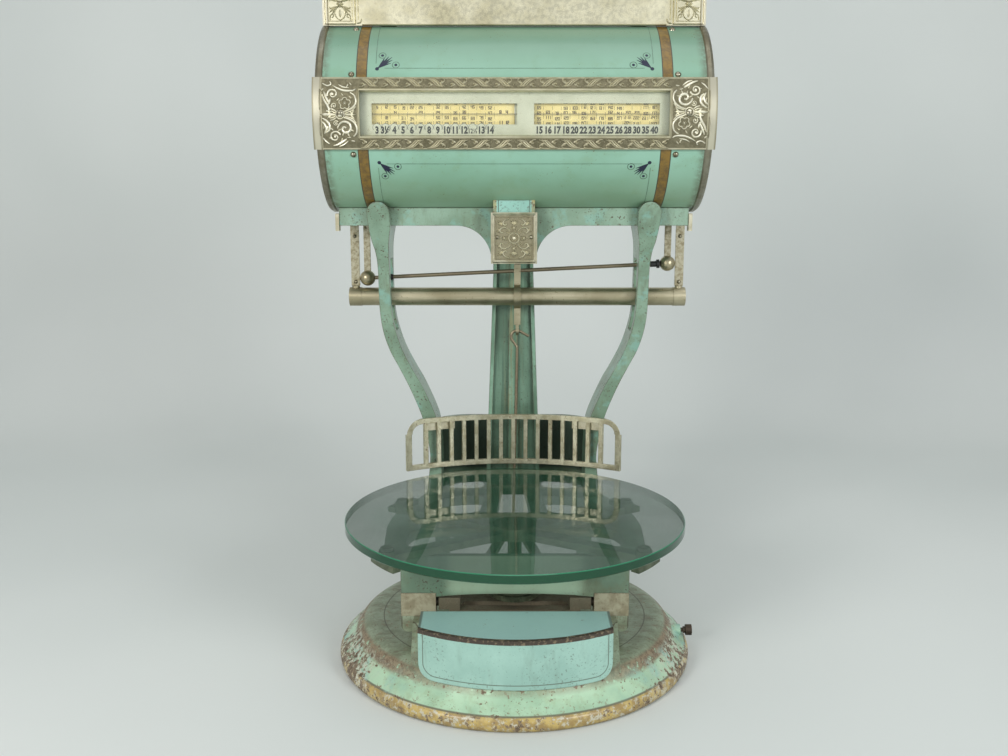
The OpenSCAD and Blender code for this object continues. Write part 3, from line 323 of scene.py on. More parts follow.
def steel(name, colour, rust=0.5, rough=0.42):
    """Dark oiled steel with a rusty bloom."""
    f = Finish(name, rough, 0.85, colour)
    f.lay(f.cloud(0.42, 0.66, 14, 5, 0.7) * rust, (98, 78, 58), 0.75, 0.1, height=0.4)
    f.lay(f.cloud(0.55, 0.72, 3, 4, 0.7) * rust, DARK_RUST, 0.8, 0.1, height=0.6)
    f.lay(f.edges(0.7) * 0.35, (150, 144, 130), 0.3, 1)
    return f


def dressed_base():
    """The base's finish: mint flank, olive top, worn brown shoulder, a chipped gilt foot band, and painted shade in
    its corners.
    """
    f = Finish("base_enamel", 0.36, Coat_Weight=0.2, Coat_Roughness=0.2)
    out = away(f.x, f.y)
    fine = f.noise(3.2, 4, 0.7)
    f.colour = f.mix(f.cloud(0.35, 0.66, 40, 4), (180, 212, 180), (156, 190, 160))
    f.lay(f.cloud(0.5, 0.7, 15, 5, 0.65) * 0.3, (150, 160, 116), 0.45)
    top = f.ramp(out, 185.5, 181.5)
    f.lay(top, f.mix(f.cloud(0.36, 0.66, 24, 5, 0.6), (154, 168, 142), (126, 137, 110)), 0.5)
    f.lay(f.ramp(fine, 0.5, 0.72) * top * 0.6, (98, 88, 66), 0.6)
    f.lay(f.cloud(0.5, 0.66, 12, 5, 0.65, (0.5, 1.4, 1)) * top * 0.45, (104, 84, 64), 0.6)
    f.lay(f.band(out, 156.5, 157.9, 0.3) * 0.75, (70, 60, 44), 0.5)
    foot = f.band(f.z, -2, 16.8, 0.8)
    gilt = f.mix(f.cloud(0.4, 0.6, 14, 4), (190, 166, 98), (154, 130, 80))
    f.lay(foot, gilt, 0.42)
    f.lay(foot * f.cloud(0.5, 0.6, 6, 5, 0.7), (190, 186, 166), 0.5)
    f.lay(f.band(f.z, 16.4, 17.8, 0.4) * 0.8, (84, 72, 54), 0.6)
    # Painted shade in corners
    f.lay(f.corners(16) * 0.55, GRIME_AND_SHADE, 0.65)
    f.lay(f.cloud(0.62, 0.68, 2.4, 2) * f.cloud(0.46, 0.6, 30, 3) * 0.7, (120, 106, 84), 0.75, height=-0.4)
    shoulder = f.band(out, 181, 190.5, 2.2)
    around = 0.45 + 0.55 * f.ramp(abs(f.x), 60, 150)
    f.lay(shoulder * f.cloud(0.34, 0.46, 10, 5, 0.65) * around,
          f.mix(f.cloud(0.4, 0.6, 5, 4, 0.7), (110, 92, 72), (146, 130, 104)), 0.65, height=-0.5)
    left = f.ramp(f.x, -120, -182) * f.cloud(0.36, 0.56, 45, 3)
    right = f.ramp(f.x, 136, 186) * f.cloud(0.4, 0.58, 38, 3)
    heavy = left.most(right) * f.ramp(out, 184, 190)
    f.lay(f.ramp(abs(f.x), 90, 170) * f.ramp(out, 184, 190) * (1 - foot) * f.cloud(0.46, 0.62, 20, 4) * 0.6,
          (150, 198, 188), 0.4)
    f.lay(heavy * f.cloud(0.47, 0.52, 4.5, 6, 0.75), (204, 205, 186), 0.55)
    low = f.ramp(f.z, 24, 8) * f.cloud(0.35, 0.6, 26, 3) * 0.06
    worn = f.noise(6.5, 6, 0.72) * 0.62 + shoulder * 0.03 + low + heavy * 0.085
    f.lay(f.ramp(worn, 0.375, 0.395) * 0.75, (150, 132, 104), 0.6)
    bare = f.mix(f.cloud(0.4, 0.6, 5, 4, 0.7), (94, 78, 60), (136, 120, 98))
    f.lay(f.ramp(worn, 0.395, 0.41), bare, 0.7, height=-1)
    f.height += fine * 0.3
    return f.close(0.6, 0.35)


def dressed_box():
    """The front box: blue-mint, with a fine dark line inside its front edge, a lid painted lighter as painted light
    from above, and a worn upper edge.
    """
    f = enamel("box_enamel", (162, 200, 187), (144, 182, 170), 0.35, 0.45, 0.05)
    side, out = abs(f.x), away(f.x, f.y)
    across, under = (side - 86).most(0), (56.5 - f.z).most(0)
    line = f.band(away(across, under), 12.2, 13.3, 0.25)
    f.lay(line * f.ramp(f.y, -146, -150) * 0.8, (86, 92, 80), 0.5)
    lid = f.ramp(f.z, 92.2, 92.9)
    # Painted light: the top face is painted lighter, as if lit from above
    f.lay(lid * 0.8, (168, 213, 207), 0.45)
    f.lay(f.band(side, 101.2, 106, 0.8) * lid * 0.7, (78, 70, 52), 0.6)
    brim = f.ramp(out, 184, 185.4) * f.ramp(f.z, 87.8, 88.8)
    torn = f.noise(7, 6, 0.72, stretch=(0.5, 1, 1)) * 0.6
    bare = f.mix(f.cloud(0.5, 0.66, 4, 3), (60, 50, 40), (118, 104, 82))
    f.lay((brim * 0.16 + torn > 0.355) * brim, bare, 0.7, height=-0.8)
    f.lay((torn + f.band(f.z, 90, 94, 1) * 0.03 > 0.43) * 0.8, (110, 94, 70), 0.65, height=-0.6)
    return f.close(0.5, 0.35, 0.8)


def dressed_barrel():
    """The barrel: mint enamel with painted shade over its top, its lower front and its corners, and a mottled gilt
    stripe, edged dark, near each end.
    """
    f = Finish("barrel_enamel", 0.3, Coat_Weight=0.35, Coat_Roughness=0.12)
    f.colour = f.mix(f.cloud(0.36, 0.64, 80, 3), (144, 188, 167), (136, 179, 156))
    f.lay(f.cloud(0.5, 0.78, 20, 5, 0.65) * 0.35, (130, 160, 124), 0.4)
    # Painted shade: darker over the top, towards the tablet
    f.lay(f.ramp(f.z, 650, 738) * 0.85, (104, 142, 118), 0.34)
    # Painted shade on the lower front
    low = f.ramp(BARREL_Z - f.z, 44, 108) * f.ramp(BARREL_Y - f.y, 0, 30)
    f.lay(low * 0.5, (124, 148, 106), 0.4)
    side = abs(f.x)
    gilt = f.mix(f.cloud(0.38, 0.62, 7, 5, 0.7), (128, 100, 34), (98, 77, 32))
    f.lay(f.band(side, STRIPE_IN, STRIPE_OUT, 0.3), gilt, 0.4)
    inner = f.band(side, STRIPE_IN - 0.7, STRIPE_IN + 0.4, 0.2)
    f.lay(inner.most(f.band(side, STRIPE_OUT - 0.4, STRIPE_OUT + 0.7, 0.2)), (58, 56, 40), 0.5)
    f.lay(f.ramp(side, 210, 221) * f.cloud(0.3, 0.6, 8, 5, 0.7) * 0.6, GRIME_AND_SHADE, 0.5)
    # Painted shade in corners
    f.lay(f.corners(9) * 0.5, GRIME_AND_SHADE, 0.55)
    spots = f.cloud(0.67, 0.72, 2, 2) * f.cloud(0.5, 0.66, 40, 3)
    f.lay(spots * 0.8, RUST, 0.7, height=-0.4)
    f.height += f.noise(30, 2) * 0.5 + f.noise(1.8, 3) * 0.12
    return f.close(0.25, 0.4)


def dressed_housing():
    """The rack's housing: pale blue-green between dark lines, rusty yellow at its outer edges."""
    f = enamel("housing_enamel", (150, 196, 184), (134, 180, 166), 0.4, 0.5, 0.1)
    side = abs(f.x)
    yellow = f.mix(f.cloud(0.4, 0.6, 6, 5, 0.7), (176, 156, 92), (132, 128, 88))
    f.lay(f.ramp(side, 20.5, 22.5) * 0.75, yellow, 0.5)
    f.lay(f.band(side, 18.6, 19.7, 0.25) * 0.85, (70, 84, 74), 0.5)
    f.lay(f.ramp(side, 20, 22) * f.cloud(0.52, 0.58, 4, 4, 0.7), RUST, 0.7, height=-0.5)
    return f.close(0.5, 0.35, 0.8)


def dressed_cap():
    """An end cap: mint enamel with two fine gilt rings."""
    f = enamel("cap_enamel", (150, 192, 168), (136, 176, 152), 0.4, 0.4, 0.1)
    out = away(f.y - BARREL_Y, f.z - BARREL_Z)
    lines = f.band(out, 88, 90.2, 0.25).most(f.band(out, 84, 84.9, 0.2)).most(f.band(out, 22, 23.4, 0.2))
    f.lay(lines * 0.85, (140, 112, 58), 0.45)
    return f.close(0.4, 0.35)


def dressed_arm(name, light, deep, specks, wear=0.13):
    """An arm or beam: enamel with heavy specks, worn along its edges."""
    f = enamel(name, light, deep, 0.6, specks, wear)
    f.lay(f.cloud(0.54, 0.66, 24, 4, 0.6) * 0.4, (132, 186, 176), 0.36)
    f.lay(f.cloud(0.54, 0.68, 9, 5, 0.7, (1, 1, 0.4)) * 0.35, (104, 116, 84), 0.5)
    return f.close(0.55, 0.35, 1)


def dressed_column():
    f = enamel("column_enamel", (136, 174, 150), (106, 140, 117), 0.55, 0.7, 0.14, rough=0.28)
    # Dark vertical streaks, and lighter ones that are painted highlights along the column
    streaks_and_sheen = f.noise(7, 4, 0.6, stretch=(1, 1, 0.04))
    f.lay(f.ramp(streaks_and_sheen, 0.52, 0.62) * 0.6, (78, 106, 84), 0.36)
    f.lay(f.ramp(streaks_and_sheen, 0.44, 0.36) * 0.55, (152, 186, 160), 0.3)
    f.lay(f.cloud(0.46, 0.66, 5, 4, 0.6, (1, 1, 0.06)) * f.ramp(abs(f.x), 16, 6) * 0.55, (140, 124, 80), 0.5)
    # Painted shade: darker towards the bottom, behind the rail, and at the back
    f.lay(f.ramp(f.z, 330, 150) * 0.3, (70, 92, 74), 0.55)
    f.lay(f.ramp(f.y, 186, 192) * 0.45, (52, 74, 58), 0.6)
    return f.close(0.5, 0.35, 1)


def dressed_saddle():
    f = enamel("saddle_enamel", (130, 156, 132), (96, 122, 100), 0.75, 0.8, 0.14)
    f.lay(f.cloud(0.46, 0.66, 26, 4, 0.6) * 0.5, (104, 108, 80), 0.6)
    # Painted light: the front bridge under the glass is painted lighter, as if lit
    lit_bridge = f.ramp(f.y, -86, -94) * f.ramp(f.z, 100, 112) * f.ramp(abs(f.x), 84, 66)
    f.lay(lit_bridge * 0.75, (184, 208, 178), 0.4)
    # In the shade inside the back wall
    bend = away((abs(f.x) - 60).most(0), f.y - 200)
    f.lay(f.ramp(f.y, 188, 206) * f.ramp(f.z, 156, 162) * f.ramp(bend, 50, 47.5) * 0.8, (30, 44, 34), 0.6)
    return f.close(0.55, 0.35, 1)


def dressed_block():
    """A knife-edge block: bare cast face, beige and pitted, with painted shade in its corners."""
    f = Finish("block_stone", 0.6, 0.15)
    f.colour = f.mix(f.cloud(0.36, 0.66, 12, 5, 0.6), (172, 168, 142), (138, 130, 104))
    # Painted shade in corners
    f.lay(f.corners(8) * 0.7, (70, 60, 44), 0.7)
    pits = f.ramp(f.noise(4, 5, 0.7) * 0.8 + f.edges(1.2) * 0.12, 0.47, 0.54)
    f.lay(pits * 0.7, (104, 82, 60), 0.7, height=-0.6)
    f.height += f.noise(2, 4, 0.7) * 0.5
    return f.close(0.5, 0.35)


def dressed_platter():
    """The glass platter: clear green faces, and a deep green edge as such thick glass shows."""
    f = Finish("platter_glass", 0.04)
    rim = f.ramp(away(f.x, f.y - PLATTER_Y), 191.6, 192.2)
    haze = f.cloud(0.35, 0.7, 70, 4, 0.6)
    # The edge is deep green below, with a painted highlight along its top
    edge = f.mix(f.ramp(f.z, 184.5, 186.4), (0, 64, 38), (60, 146, 110))
    f.colour = f.mix(rim, f.mix(haze, (36, 76, 56), (50, 90, 70)), edge)
    f.rough = f.blend(f.cloud(0.55, 0.8, 16, 6, 0.75) * 0.14, 0.03, 0.5)
    turned = f.node("LayerWeight", {}, {"Blend": 0.35}, out="Facing")
    f.alpha = (0.4 + haze * 0.08 + turned * 0.12).most(rim * (0.5 + 0.46 * f.ramp(f.y, 60, -60)))
    return f.close()


def dressed_pane():
    f = Finish("window_pane", 0.05, colour=(226, 234, 226))
    f.rough = f.blend(f.cloud(0.5, 0.8, 12, 5, 0.7), 0.03, 0.25)
    turned = f.node("LayerWeight", {}, {"Blend": 0.4}, out="Facing")
    f.alpha = 0.05 + turned * 0.22
    return f.close()


def dressed_mask():
    f = Finish("mask_card", 0.6)
    f.colour = f.mix(f.cloud(0.35, 0.68, 30, 4), (210, 212, 188), (198, 201, 176))
    # Painted shade: darker towards the ends, in the recess by the frame's plates
    f.lay(f.ramp(abs(f.x), 168, 180) * 0.5, (150, 158, 142), 0.6)
    f.lay(f.cloud(0.62, 0.72, 3, 3) * 0.35, (150, 136, 96), 0.7)
    return f.close()


def dressed_chart():
    """The chart paper: warm cream, browner in patches."""
    f = Finish("chart_paper", 0.62)
    f.colour = f.mix(f.cloud(0.35, 0.68, 26, 4), (250, 232, 160), (240, 220, 144))
    f.lay(f.cloud(0.55, 0.75, 7, 4) * 0.4, (240, 230, 184), 0.6)
    return f.close()


def plain(name, light, deep, rough=0.5, metal=0.0, grain=12):
    f = Finish(name, rough, metal)
    f.colour = f.mix(f.cloud(0.35, 0.66, grain, 4, 0.6), light, deep)
    f.rough = f.blend(f.cloud(0.35, 0.7, grain / 3, 3), rough - 0.08, rough + 0.1)
    f.height = f.noise(grain / 6, 3, 0.7) * 0.4
    return f.close(0.4, 0.3)


FINISHES = {
    "base_paint": dressed_base(),
    "box_paint": dressed_box(),
    "cover_steel": steel("cover_steel", (86, 82, 76)).close(0.5),
    "block_paint": dressed_block(),
    "saddle_paint": dressed_saddle(),
    "arm_paint": dressed_arm("arm_enamel", (136, 164, 142), (110, 136, 114), 0.9),
    "column_paint": dressed_column(),
    "beam_paint": dressed_arm("beam_enamel", (144, 172, 152), (120, 146, 124), 0.9, 0.1),
    "housing_paint": dressed_housing(),
    "barrel_paint": dressed_barrel(),
    "cap_paint": dressed_cap(),
    "ring_nickel": nickel("ring_nickel", (150, 148, 132), (122, 116, 96), 0.35, 0.36, 0.5, 3, 40).close(0.4, 0.4, 0.6),
    "relief_nickel": chased(),
    "fitting_nickel": dressed_fitting(),
    "screw_nickel": nickel("screw_nickel", (160, 156, 138), (112, 105, 84), 0.3, 0.3, 0.8, 2.4, 5).close(0.3),
    "rail_nickel": dressed_rail(),
    "gear_nickel": drawn("gear_nickel", (196, 188, 160), (146, 137, 108), 0.6, 0.34),
    "rod_steel": steel("rod_steel", (136, 126, 104), 0.4, 0.36).close(0.5),
    "black_sleeve": plain("black_sleeve", (34, 33, 34), (22, 21, 22), 0.45),
    "window_pane": dressed_pane(),
    "mask_card": dressed_mask(),
    "chart_paper": dressed_chart(),
    "disc_metal": plain("disc_metal", (176, 178, 176), (150, 152, 150), 0.35, 0.9),
    "inner_steel": steel("inner_steel", (108, 104, 98), 0.3).close(0.4),
    "pinion_brass": plain("pinion_brass", (196, 160, 84), (160, 124, 60), 0.35, 1),
    "platter_glass": dressed_platter(),
    "spider_nickel": nickel("spider_nickel", (116, 124, 102), (84, 92, 74), 0.4, 0.42, 0.7, 6, 14).close(0.4),
    "pad_rubber": plain("pad_rubber", (118, 122, 108), (84, 90, 78), 0.7, 0, 6),
    "dark_iron": steel("dark_iron", (84, 80, 72), 0.5, 0.5).close(0.5),
    "lever_iron": steel("lever_iron", (150, 142, 120), 0.45, 0.5).close(0.6),
    "thumb_steel": steel("thumb_steel", (70, 62, 54), 0.8, 0.5).close(0.5),
}

PITTED = nickel("pitted_nickel", (188, 182, 158), (138, 130, 104), 0.85, 0.38, 0.6, 3, 5).close(0.6, 0.5, 0.8)
PITTED_NODES = ("left_strap", "right_strap", "left_drop_rod", "right_drop_rod")
for entry in frame["record"]["subparts"]:
    node = frame["nodes"][entry["node"]]
    node.data.materials.clear()
    finish = PITTED if entry["node"] in PITTED_NODES else FINISHES[entry["material_slot"]]
    node.data.materials.append(finish.material)


def ink(name, rough, colour, faded):
    f = Finish(name, rough)
    f.colour = f.mix(f.cloud(0.4, 0.68, 9, 4, 0.7), colour, faded)
    return f.close()


LINE_INK = ink("line_ink", 0.5, (76, 102, 88), (98, 130, 112))
FEATHER_INK = ink("feather_ink", 0.5, (24, 26, 54), (34, 44, 58))
FIGURE_INK = ink("figure_ink", 0.6, (50, 40, 24), (84, 68, 42))
MASK_INK = ink("mask_ink", 0.6, (26, 28, 26), (48, 50, 46))


# Shapes


def rounded(name, mesh):
    """Turns a bmesh into a smooth-shaded mesh."""
    data = bpy.data.meshes.new(name)
    mesh.to_mesh(data)
    mesh.free()
    for face in data.polygons:
        face.use_smooth = True
    return data


def shown(name, data):
    """An object of the scene."""
    made = bpy.data.objects.new(name, data)
    bpy.context.scene.collection.objects.link(made)
    return made


def piece(name, mesh, body, slot, finish=None, loose=False):
    """Makes a bmesh in millimetres an object of the scene that rides on a body."""
    bmesh.ops.remove_doubles(mesh, verts=mesh.verts, dist=0.002)
    if not loose:
        bmesh.ops.recalc_face_normals(mesh, faces=mesh.faces)
    bmesh.ops.scale(mesh, vec=(MM, MM, MM), verts=mesh.verts)
    data = rounded(name, mesh)
    data.materials.append((finish or FINISHES[slot]).material)
    data.set_sharp_from_angle(angle=radians(35))
    made = shown(name, data)
    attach(made, body)


def on_barrel(radius, rear=False):
    """Puts a point (across, along the arc, height) on a cylinder about the barrel's axis."""

    def place(across, arc, height):
        turn = arc / radius
        y = -(radius + height) * cos(turn)
        z = (radius + height) * sin(turn)
        if rear:
            return Vector((-across, BARREL_Y - y, BARREL_Z + z))
        return Vector((across, BARREL_Y + y, BARREL_Z + z))

    return place


def on_front(y):
    """Puts a point (across, up, height) on an upright face that looks to the front."""
    return lambda across, up, height: Vector((across, y - height, up))


def moved(place, x, y, turn=0.0, size=1.0, flip=1):
    """The same placing, with its flat figure turned, sized, mirrored and shifted first."""
    run, climb = cos(turn) * size, sin(turn) * size
    return lambda a, b, h: place(x + flip * (a * run - b * climb), y + a * climb + b * run, h)


def ribbon(mesh, line, width, rise, place, sink=0.3, lanes=2):
    """A closed ribbon along a flat line, domed over two lanes or more, flat over one."""
    count = len(line) - 1
    half = width if callable(width) else lambda t: width
    lift = rise if callable(rise) else lambda t: rise
    top = bmesh.ops.create_grid(mesh, x_segments=count, y_segments=lanes, size=1)["verts"]
    faces = list({face for vert in top for face in vert.link_faces})
    low = bmesh.ops.extrude_face_region(mesh, geom=faces)["geom"]
    low = [item for item in low if isinstance(item, bmesh.types.BMVert)]
    for verts, upper in ((top, True), (low, False)):
        for vert in verts:
            step = round((vert.co.x + 1) / 2 * count)
            across = vert.co.y
            before, after = line[max(step - 1, 0)], line[min(step + 1, count)]
            along = Vector((after[0] - before[0], after[1] - before[1]))
            along.normalize()
            t = step / count
            a = line[step][0] - along.y * across * half(t)
            b = line[step][1] + along.x * across * half(t)
            dome = 1.0 if lanes == 1 else 1.0 - across * across
            vert.co = place(a, b, lift(t) * dome if upper else -sink)


def leaf(mesh, place, length, width, rise=1.0, bend=0.0):
    """One leaf from its foot at the middle, along +x, bending sideways towards its tip."""
    line = [(length * t, bend * t * t) for t in (0, 0.2, 0.45, 0.7, 0.88, 1)]
    ribbon(mesh, line, lambda t: max(0.06, width * sin(pi * min(1, t * 0.85 + 0.15)) ** 0.8),
           lambda t: rise * (0.5 + 0.5 * sin(pi * t)), place)


def blade(mesh, place, x, y, degrees, length, width, rise=1.0, bend=0.0, flip=1):
    """A leaf with its foot at a point, turned."""
    leaf(mesh, moved(place, x, y, radians(degrees), 1, flip), length, width, rise, bend)


def smooth(points, steps=4):
    """A soft curve through points."""
    ends = [points[0], *points, points[-1]]
    made = [points[0]]
    for before, a, b, after in zip(ends, ends[1:], ends[2:], ends[3:]):
        for i in range(1, steps + 1):
            t = i / steps
            made.append(tuple(
                0.5 * (2 * q + (r - p) * t + (2 * p - 5 * q + 4 * r - s) * t * t + (3 * q - p - 3 * r + s) * t ** 3)
                for p, q, r, s in zip(before, a, b, after)))
    return made


def rib(mesh, place, points, width=0.75, rise=1.25, thin=0.0):
    """A raised line through points; thin is how far its two ends taper."""
    width, rise = width * 1.3, rise * 1.2
    line = smooth(points)
    ribbon(mesh, line, lambda t: max(0.1, width * (1 - thin * (2 * t - 1) ** 2)),
           lambda t: rise * (1 - 0.5 * thin * t), place, 0.3, 4)


def curl(turns, size, steps=14):
    """A spiral's points, from its outer radius in to its eye."""
    made = []
    for i in range(steps + 1):
        radius, turn = size + (size * 0.22 - size) * i / steps, 2 * pi * turns * i / steps
        made.append((radius * cos(turn), radius * sin(turn)))
    return made


def arc_line(radius, first=0.0, last=360.0, steps=16):
    turns = [radians(first + (last - first) * i / steps) for i in range(steps + 1)]
    return [(radius * cos(turn), radius * sin(turn)) for turn in turns]


def mirror(points, way, up=1):
    """Points turned over sideways, upside down, or both."""
    return [(way * x, up * y) for x, y in points]


def stud(mesh, place, x, y, radius, rise, rings=3, sides=10):
    """A low dome."""
    made = bmesh.ops.create_uvsphere(mesh, u_segments=sides, v_segments=rings * 2, radius=1)["verts"]
    for vert in made:
        up = vert.co.z
        vert.co = place(x + vert.co.x * radius, y + vert.co.y * radius, up * rise if up > 0 else up * 0.3)


def rosette(mesh, place, size, petals=6, rise=1.0, turn=0.0):
    for i in range(petals):
        leaf(mesh, moved(place, 0, 0, turn + 2 * pi * i / petals), size, size * 0.3, rise)
    stud(mesh, place, 0, 0, size * 0.3, rise * 1.15)


def line_of(points, step=4.0):
    """A polyline's points, closer together."""
    made = [points[0]]
    for start, end in zip(points, points[1:]):
        count = max(1, round(dist(start, end) / step))
        for i in range(1, count + 1):
            made.append((start[0] + (end[0] - start[0]) * i / count, start[1] + (end[1] - start[1]) * i / count))
    return made


# Relief on the two window frames


def bar_motif(mesh, place):
    """One stretch of the bars' running leaf, about 24 mm long and 12 mm tall."""
    for shift, width, rise in ((-3, 0.7, 1.1), (0, 1, 1.5), (2.9, 0.7, 1.2)):
        rib(mesh, place, [(shift - 8.4, 4.6), (shift - 5.2, 4), (shift - 0.4, 0.6), (shift + 3.6, -3.4),
                          (shift + 7.6, -4.8)], width, rise, 0.5)
    rib(mesh, place, [(4.4, 5.2), (8.4, 4.6), (9.4, 2), (7.2, 0.8), (6, 2.2)], 0.75, 1.3, 0.3)
    rib(mesh, place, [(-11.5, -5.2), (-8, -4.6), (-6, -2), (-8, -0.8), (-9.4, -2.2)], 0.75, 1.3, 0.3)
    blade(mesh, place, 4.6, -0.6, 24, 5.5, 1.5, 1.3, 0.8)
    blade(mesh, place, -4.2, -1.6, 204, 5, 1.4, 1.2, 0.8)
    stud(mesh, place, 11.6, -2.2, 0.9, 1, 1, 6)
    stud(mesh, place, -0.6, 5.2, 0.7, 0.9, 1, 6)
    stud(mesh, place, 0.6, -5.2, 0.7, 0.9, 1, 6)


def plate_motif(mesh, place):
    """The left end plate's relief: a domed screw in a ring, ribs in an X, scrolls, a rose and leaves."""
    place = moved(place, -PLATE_X, 0)

    def line(points, width=0.75, rise=1.25, thin=0.3):
        rib(mesh, place, points, width * 1.35, rise, thin)

    centre = (-0.2, -1.5)
    ribbon(mesh, arc_line(4.8), 0.9, 1.3, moved(place, *centre), 0.3, 4)
    stud(mesh, place, *centre, 3.2, 2.6, 4, 14)
    line([(4.2, 1.6), (9, 3.4), (14.4, 6.4), (18.1, 12), (16.6, 19.6), (11.6, 23)])
    line([(5.6, -0.4), (10, 1.6), (14.6, 3.6), (18, 7.6)], 0.5, 1.1)
    line([(4.2, -4.8), (9.6, -6.4), (15.4, -10.2), (18.6, -16.4), (17.8, -22.4), (14.6, -26)])
    line([(5.6, -3.4), (9.8, -4.6), (14.8, -6.8), (18.2, -11.2)], 0.5, 1.1)
    for up in SIDES:
        line([(-4.6, -1.5 + 3.2 * up), (-8, -1.5 + 5.6 * up), (-11.6, -1.5 + 6.6 * up)], 0.6)
        line([(-5.4, -1.5 + 1.6 * up), (-9, -1.5 + 3.4 * up), (-12.8, -1.5 + 3.6 * up)], 0.5)
        blade(mesh, place, -9.5, -1.5, 180 - 30 * up, 7.5, 1.3, 1.2, -1.6 * up)
        blade(mesh, place, 11.4, -1.5, 38 * up, 7.4, 1.2, 1.2, 1.2 * up)
        line([(-23.4, 26.5 * up + 1), (-23.9, 14 * up), (-23.4, 4 * up)], 0.55, 1)
    leaf(mesh, moved(place, -5.6, -1.5, pi), 17.5, 1.9, 1.5)
    leaf(mesh, moved(place, 5.2, -1.5), 13, 1.5, 1.4)
    # Rose, with the scroll that it sits in
    rose = moved(place, 5.4, 10.9)
    for i in range(5):
        turn = radians(90 + 72 * i)
        ribbon(mesh, arc_line(2.6, -100, 100, 8), 0.85, 1.5,
               moved(rose, 4.1 * cos(turn), 4.1 * sin(turn), turn), 0.3, 4)
    ribbon(mesh, arc_line(1.9, 0, 360, 8), 0.6, 1.2, rose)
    stud(mesh, rose, 0, 0, 1, 1.4)
    # Wave scroll below
    line([(-3.6, -16.4), (-0.6, -11.6), (4.4, -9.4), (9.6, -11.2), (11.6, -15.6), (9.6, -20.4),
          (4.6, -21.6), (1.8, -18.6), (3.6, -15.4), (6.4, -16.4)], 0.95, 1.4)
    for turn, far in ((200, 5.2), (245, 5.2), (290, 5.6), (335, 5.4)):
        blade(mesh, place, 5.6 + 5.2 * cos(radians(turn)), -15.8 + 6 * sin(radians(turn)), turn, far, 1.1, 1.1, 0.8)
    # Large and small spirals
    for x, y, size, first, flip in ((-8.4, 21.4, 6.4, 200, 1), (-6.8, -26.3, 6.6, 160, -1),
                                    (-6.9, 8.2, 3.3, 220, 1), (-5.2, -11.4, 3.2, 150, -1)):
        spot = moved(place, x, y, radians(first), 1, flip)
        ribbon(mesh, curl(-1.3, size, 18), lambda t: 1.25 * (1 - 0.3 * t) * min(1, size / 4.5), 1.35, spot, 0.3, 4)
        stud(mesh, spot, 0, 0, size * 0.24, 1.3, 2, 8)
    # Acanthus down the left
    for points in ([(-20.6, 21), (-17.8, 14), (-14.4, 8.6), (-12.6, 3.4), (-16, 2.4)],
                   [(-18.4, 24), (-15, 16), (-11.6, 10.4)],
                   [(-20.6, -5.6), (-16, -8.4), (-12.6, -12.8), (-13, -18.6), (-16.6, -22)],
                   [(-21.4, -9.4), (-18.2, -12.4), (-16.4, -17.4), (-18.6, -22.8)]):
        line(points, 0.95, 1.5, 0.5)
    blade(mesh, place, -14, 9, 60, 9, 1.6, 1.3, 1.6)
    blade(mesh, place, -14.2, -14, 250, 10, 1.7, 1.3, -1.6)
    # Long blades above and below, and fill between
    line([(-8.6, 31.6), (-3.4, 28.4), (4, 25.6), (14, 25.4), (18, 27.4)], 0.8, 1.3, 0.6)
    line([(-2, 32.4), (3.4, 29.6), (10.2, 28.6)], 0.6, 1.1, 0.6)
    line([(-9.4, -36.6), (-3.6, -35), (3.2, -31), (6.6, -28.8)], 0.95, 1.5, 0.6)
    line([(-3, -37.4), (2.6, -35.6), (8.2, -31.2)], 0.7, 1.2, 0.6)
    line([(-20, 33.8), (-14.8, 31.2), (-10.4, 32.8), (-11.6, 35.8)], 0.6, 1)
    line([(-21, -27.4), (-17.4, -31.8), (-13.6, -34.6)], 0.6, 1.1, 0.5)
    for x, y in ((13, 31.6), (15.8, -31.8), (11.4, -27), (-18.8, 28), (-13.8, -27.8), (-1, 16.6),
                 (10, 19), (-0.6, -23.6), (-16.6, 0.4), (-4.8, 29.4), (-12.4, 27), (-0.4, -31.4),
                 (-8.6, -19.4), (1.4, 22.6), (-19.6, 14.6), (-19.8, -17.4), (7.4, 29.6), (14, -0.8)):
        blade(mesh, place, x, y, (x - PLATE_X) * 7 + y * 11, 4.6, 1, 1, 0.8)


def window_relief(rear):
    mesh = bmesh.new()
    place = on_barrel(FRAME_R, rear)
    middle = (OPEN_ARC + 2 + FRAME_ARC) / 2
    inner = OPEN_X + 1.2
    first, pitch = 13, 25.6
    for side in SIDES:
        for edge, width, far in ((OPEN_ARC + 2.3, 0.45, inner), (FRAME_ARC - 0.9, 0.8, 221)):
            ribbon(mesh, line_of([(-far, side * edge), (far, side * edge)], 8), width, 0.8, place)
        ribbon(mesh, line_of([(side * inner, -OPEN_ARC - 2), (side * inner, OPEN_ARC + 2)], 5), 0.7, 0.9, place)
        for i in range(7):
            for way in SIDES:
                bar_motif(mesh, moved(place, way * (first + pitch * i), side * middle, 0, side, -way * side))
        plate_motif(mesh, lambda a, b, h, side=side: place(a * side, b * side, h))
    return mesh


for rear in (False, True):
    name = "rear_window_relief" if rear else "window_relief"
    piece(name, window_relief(rear), "frame", "relief_nickel")


# Tablet: framed end panels with scrolls, a bare middle field and a shell on the crest


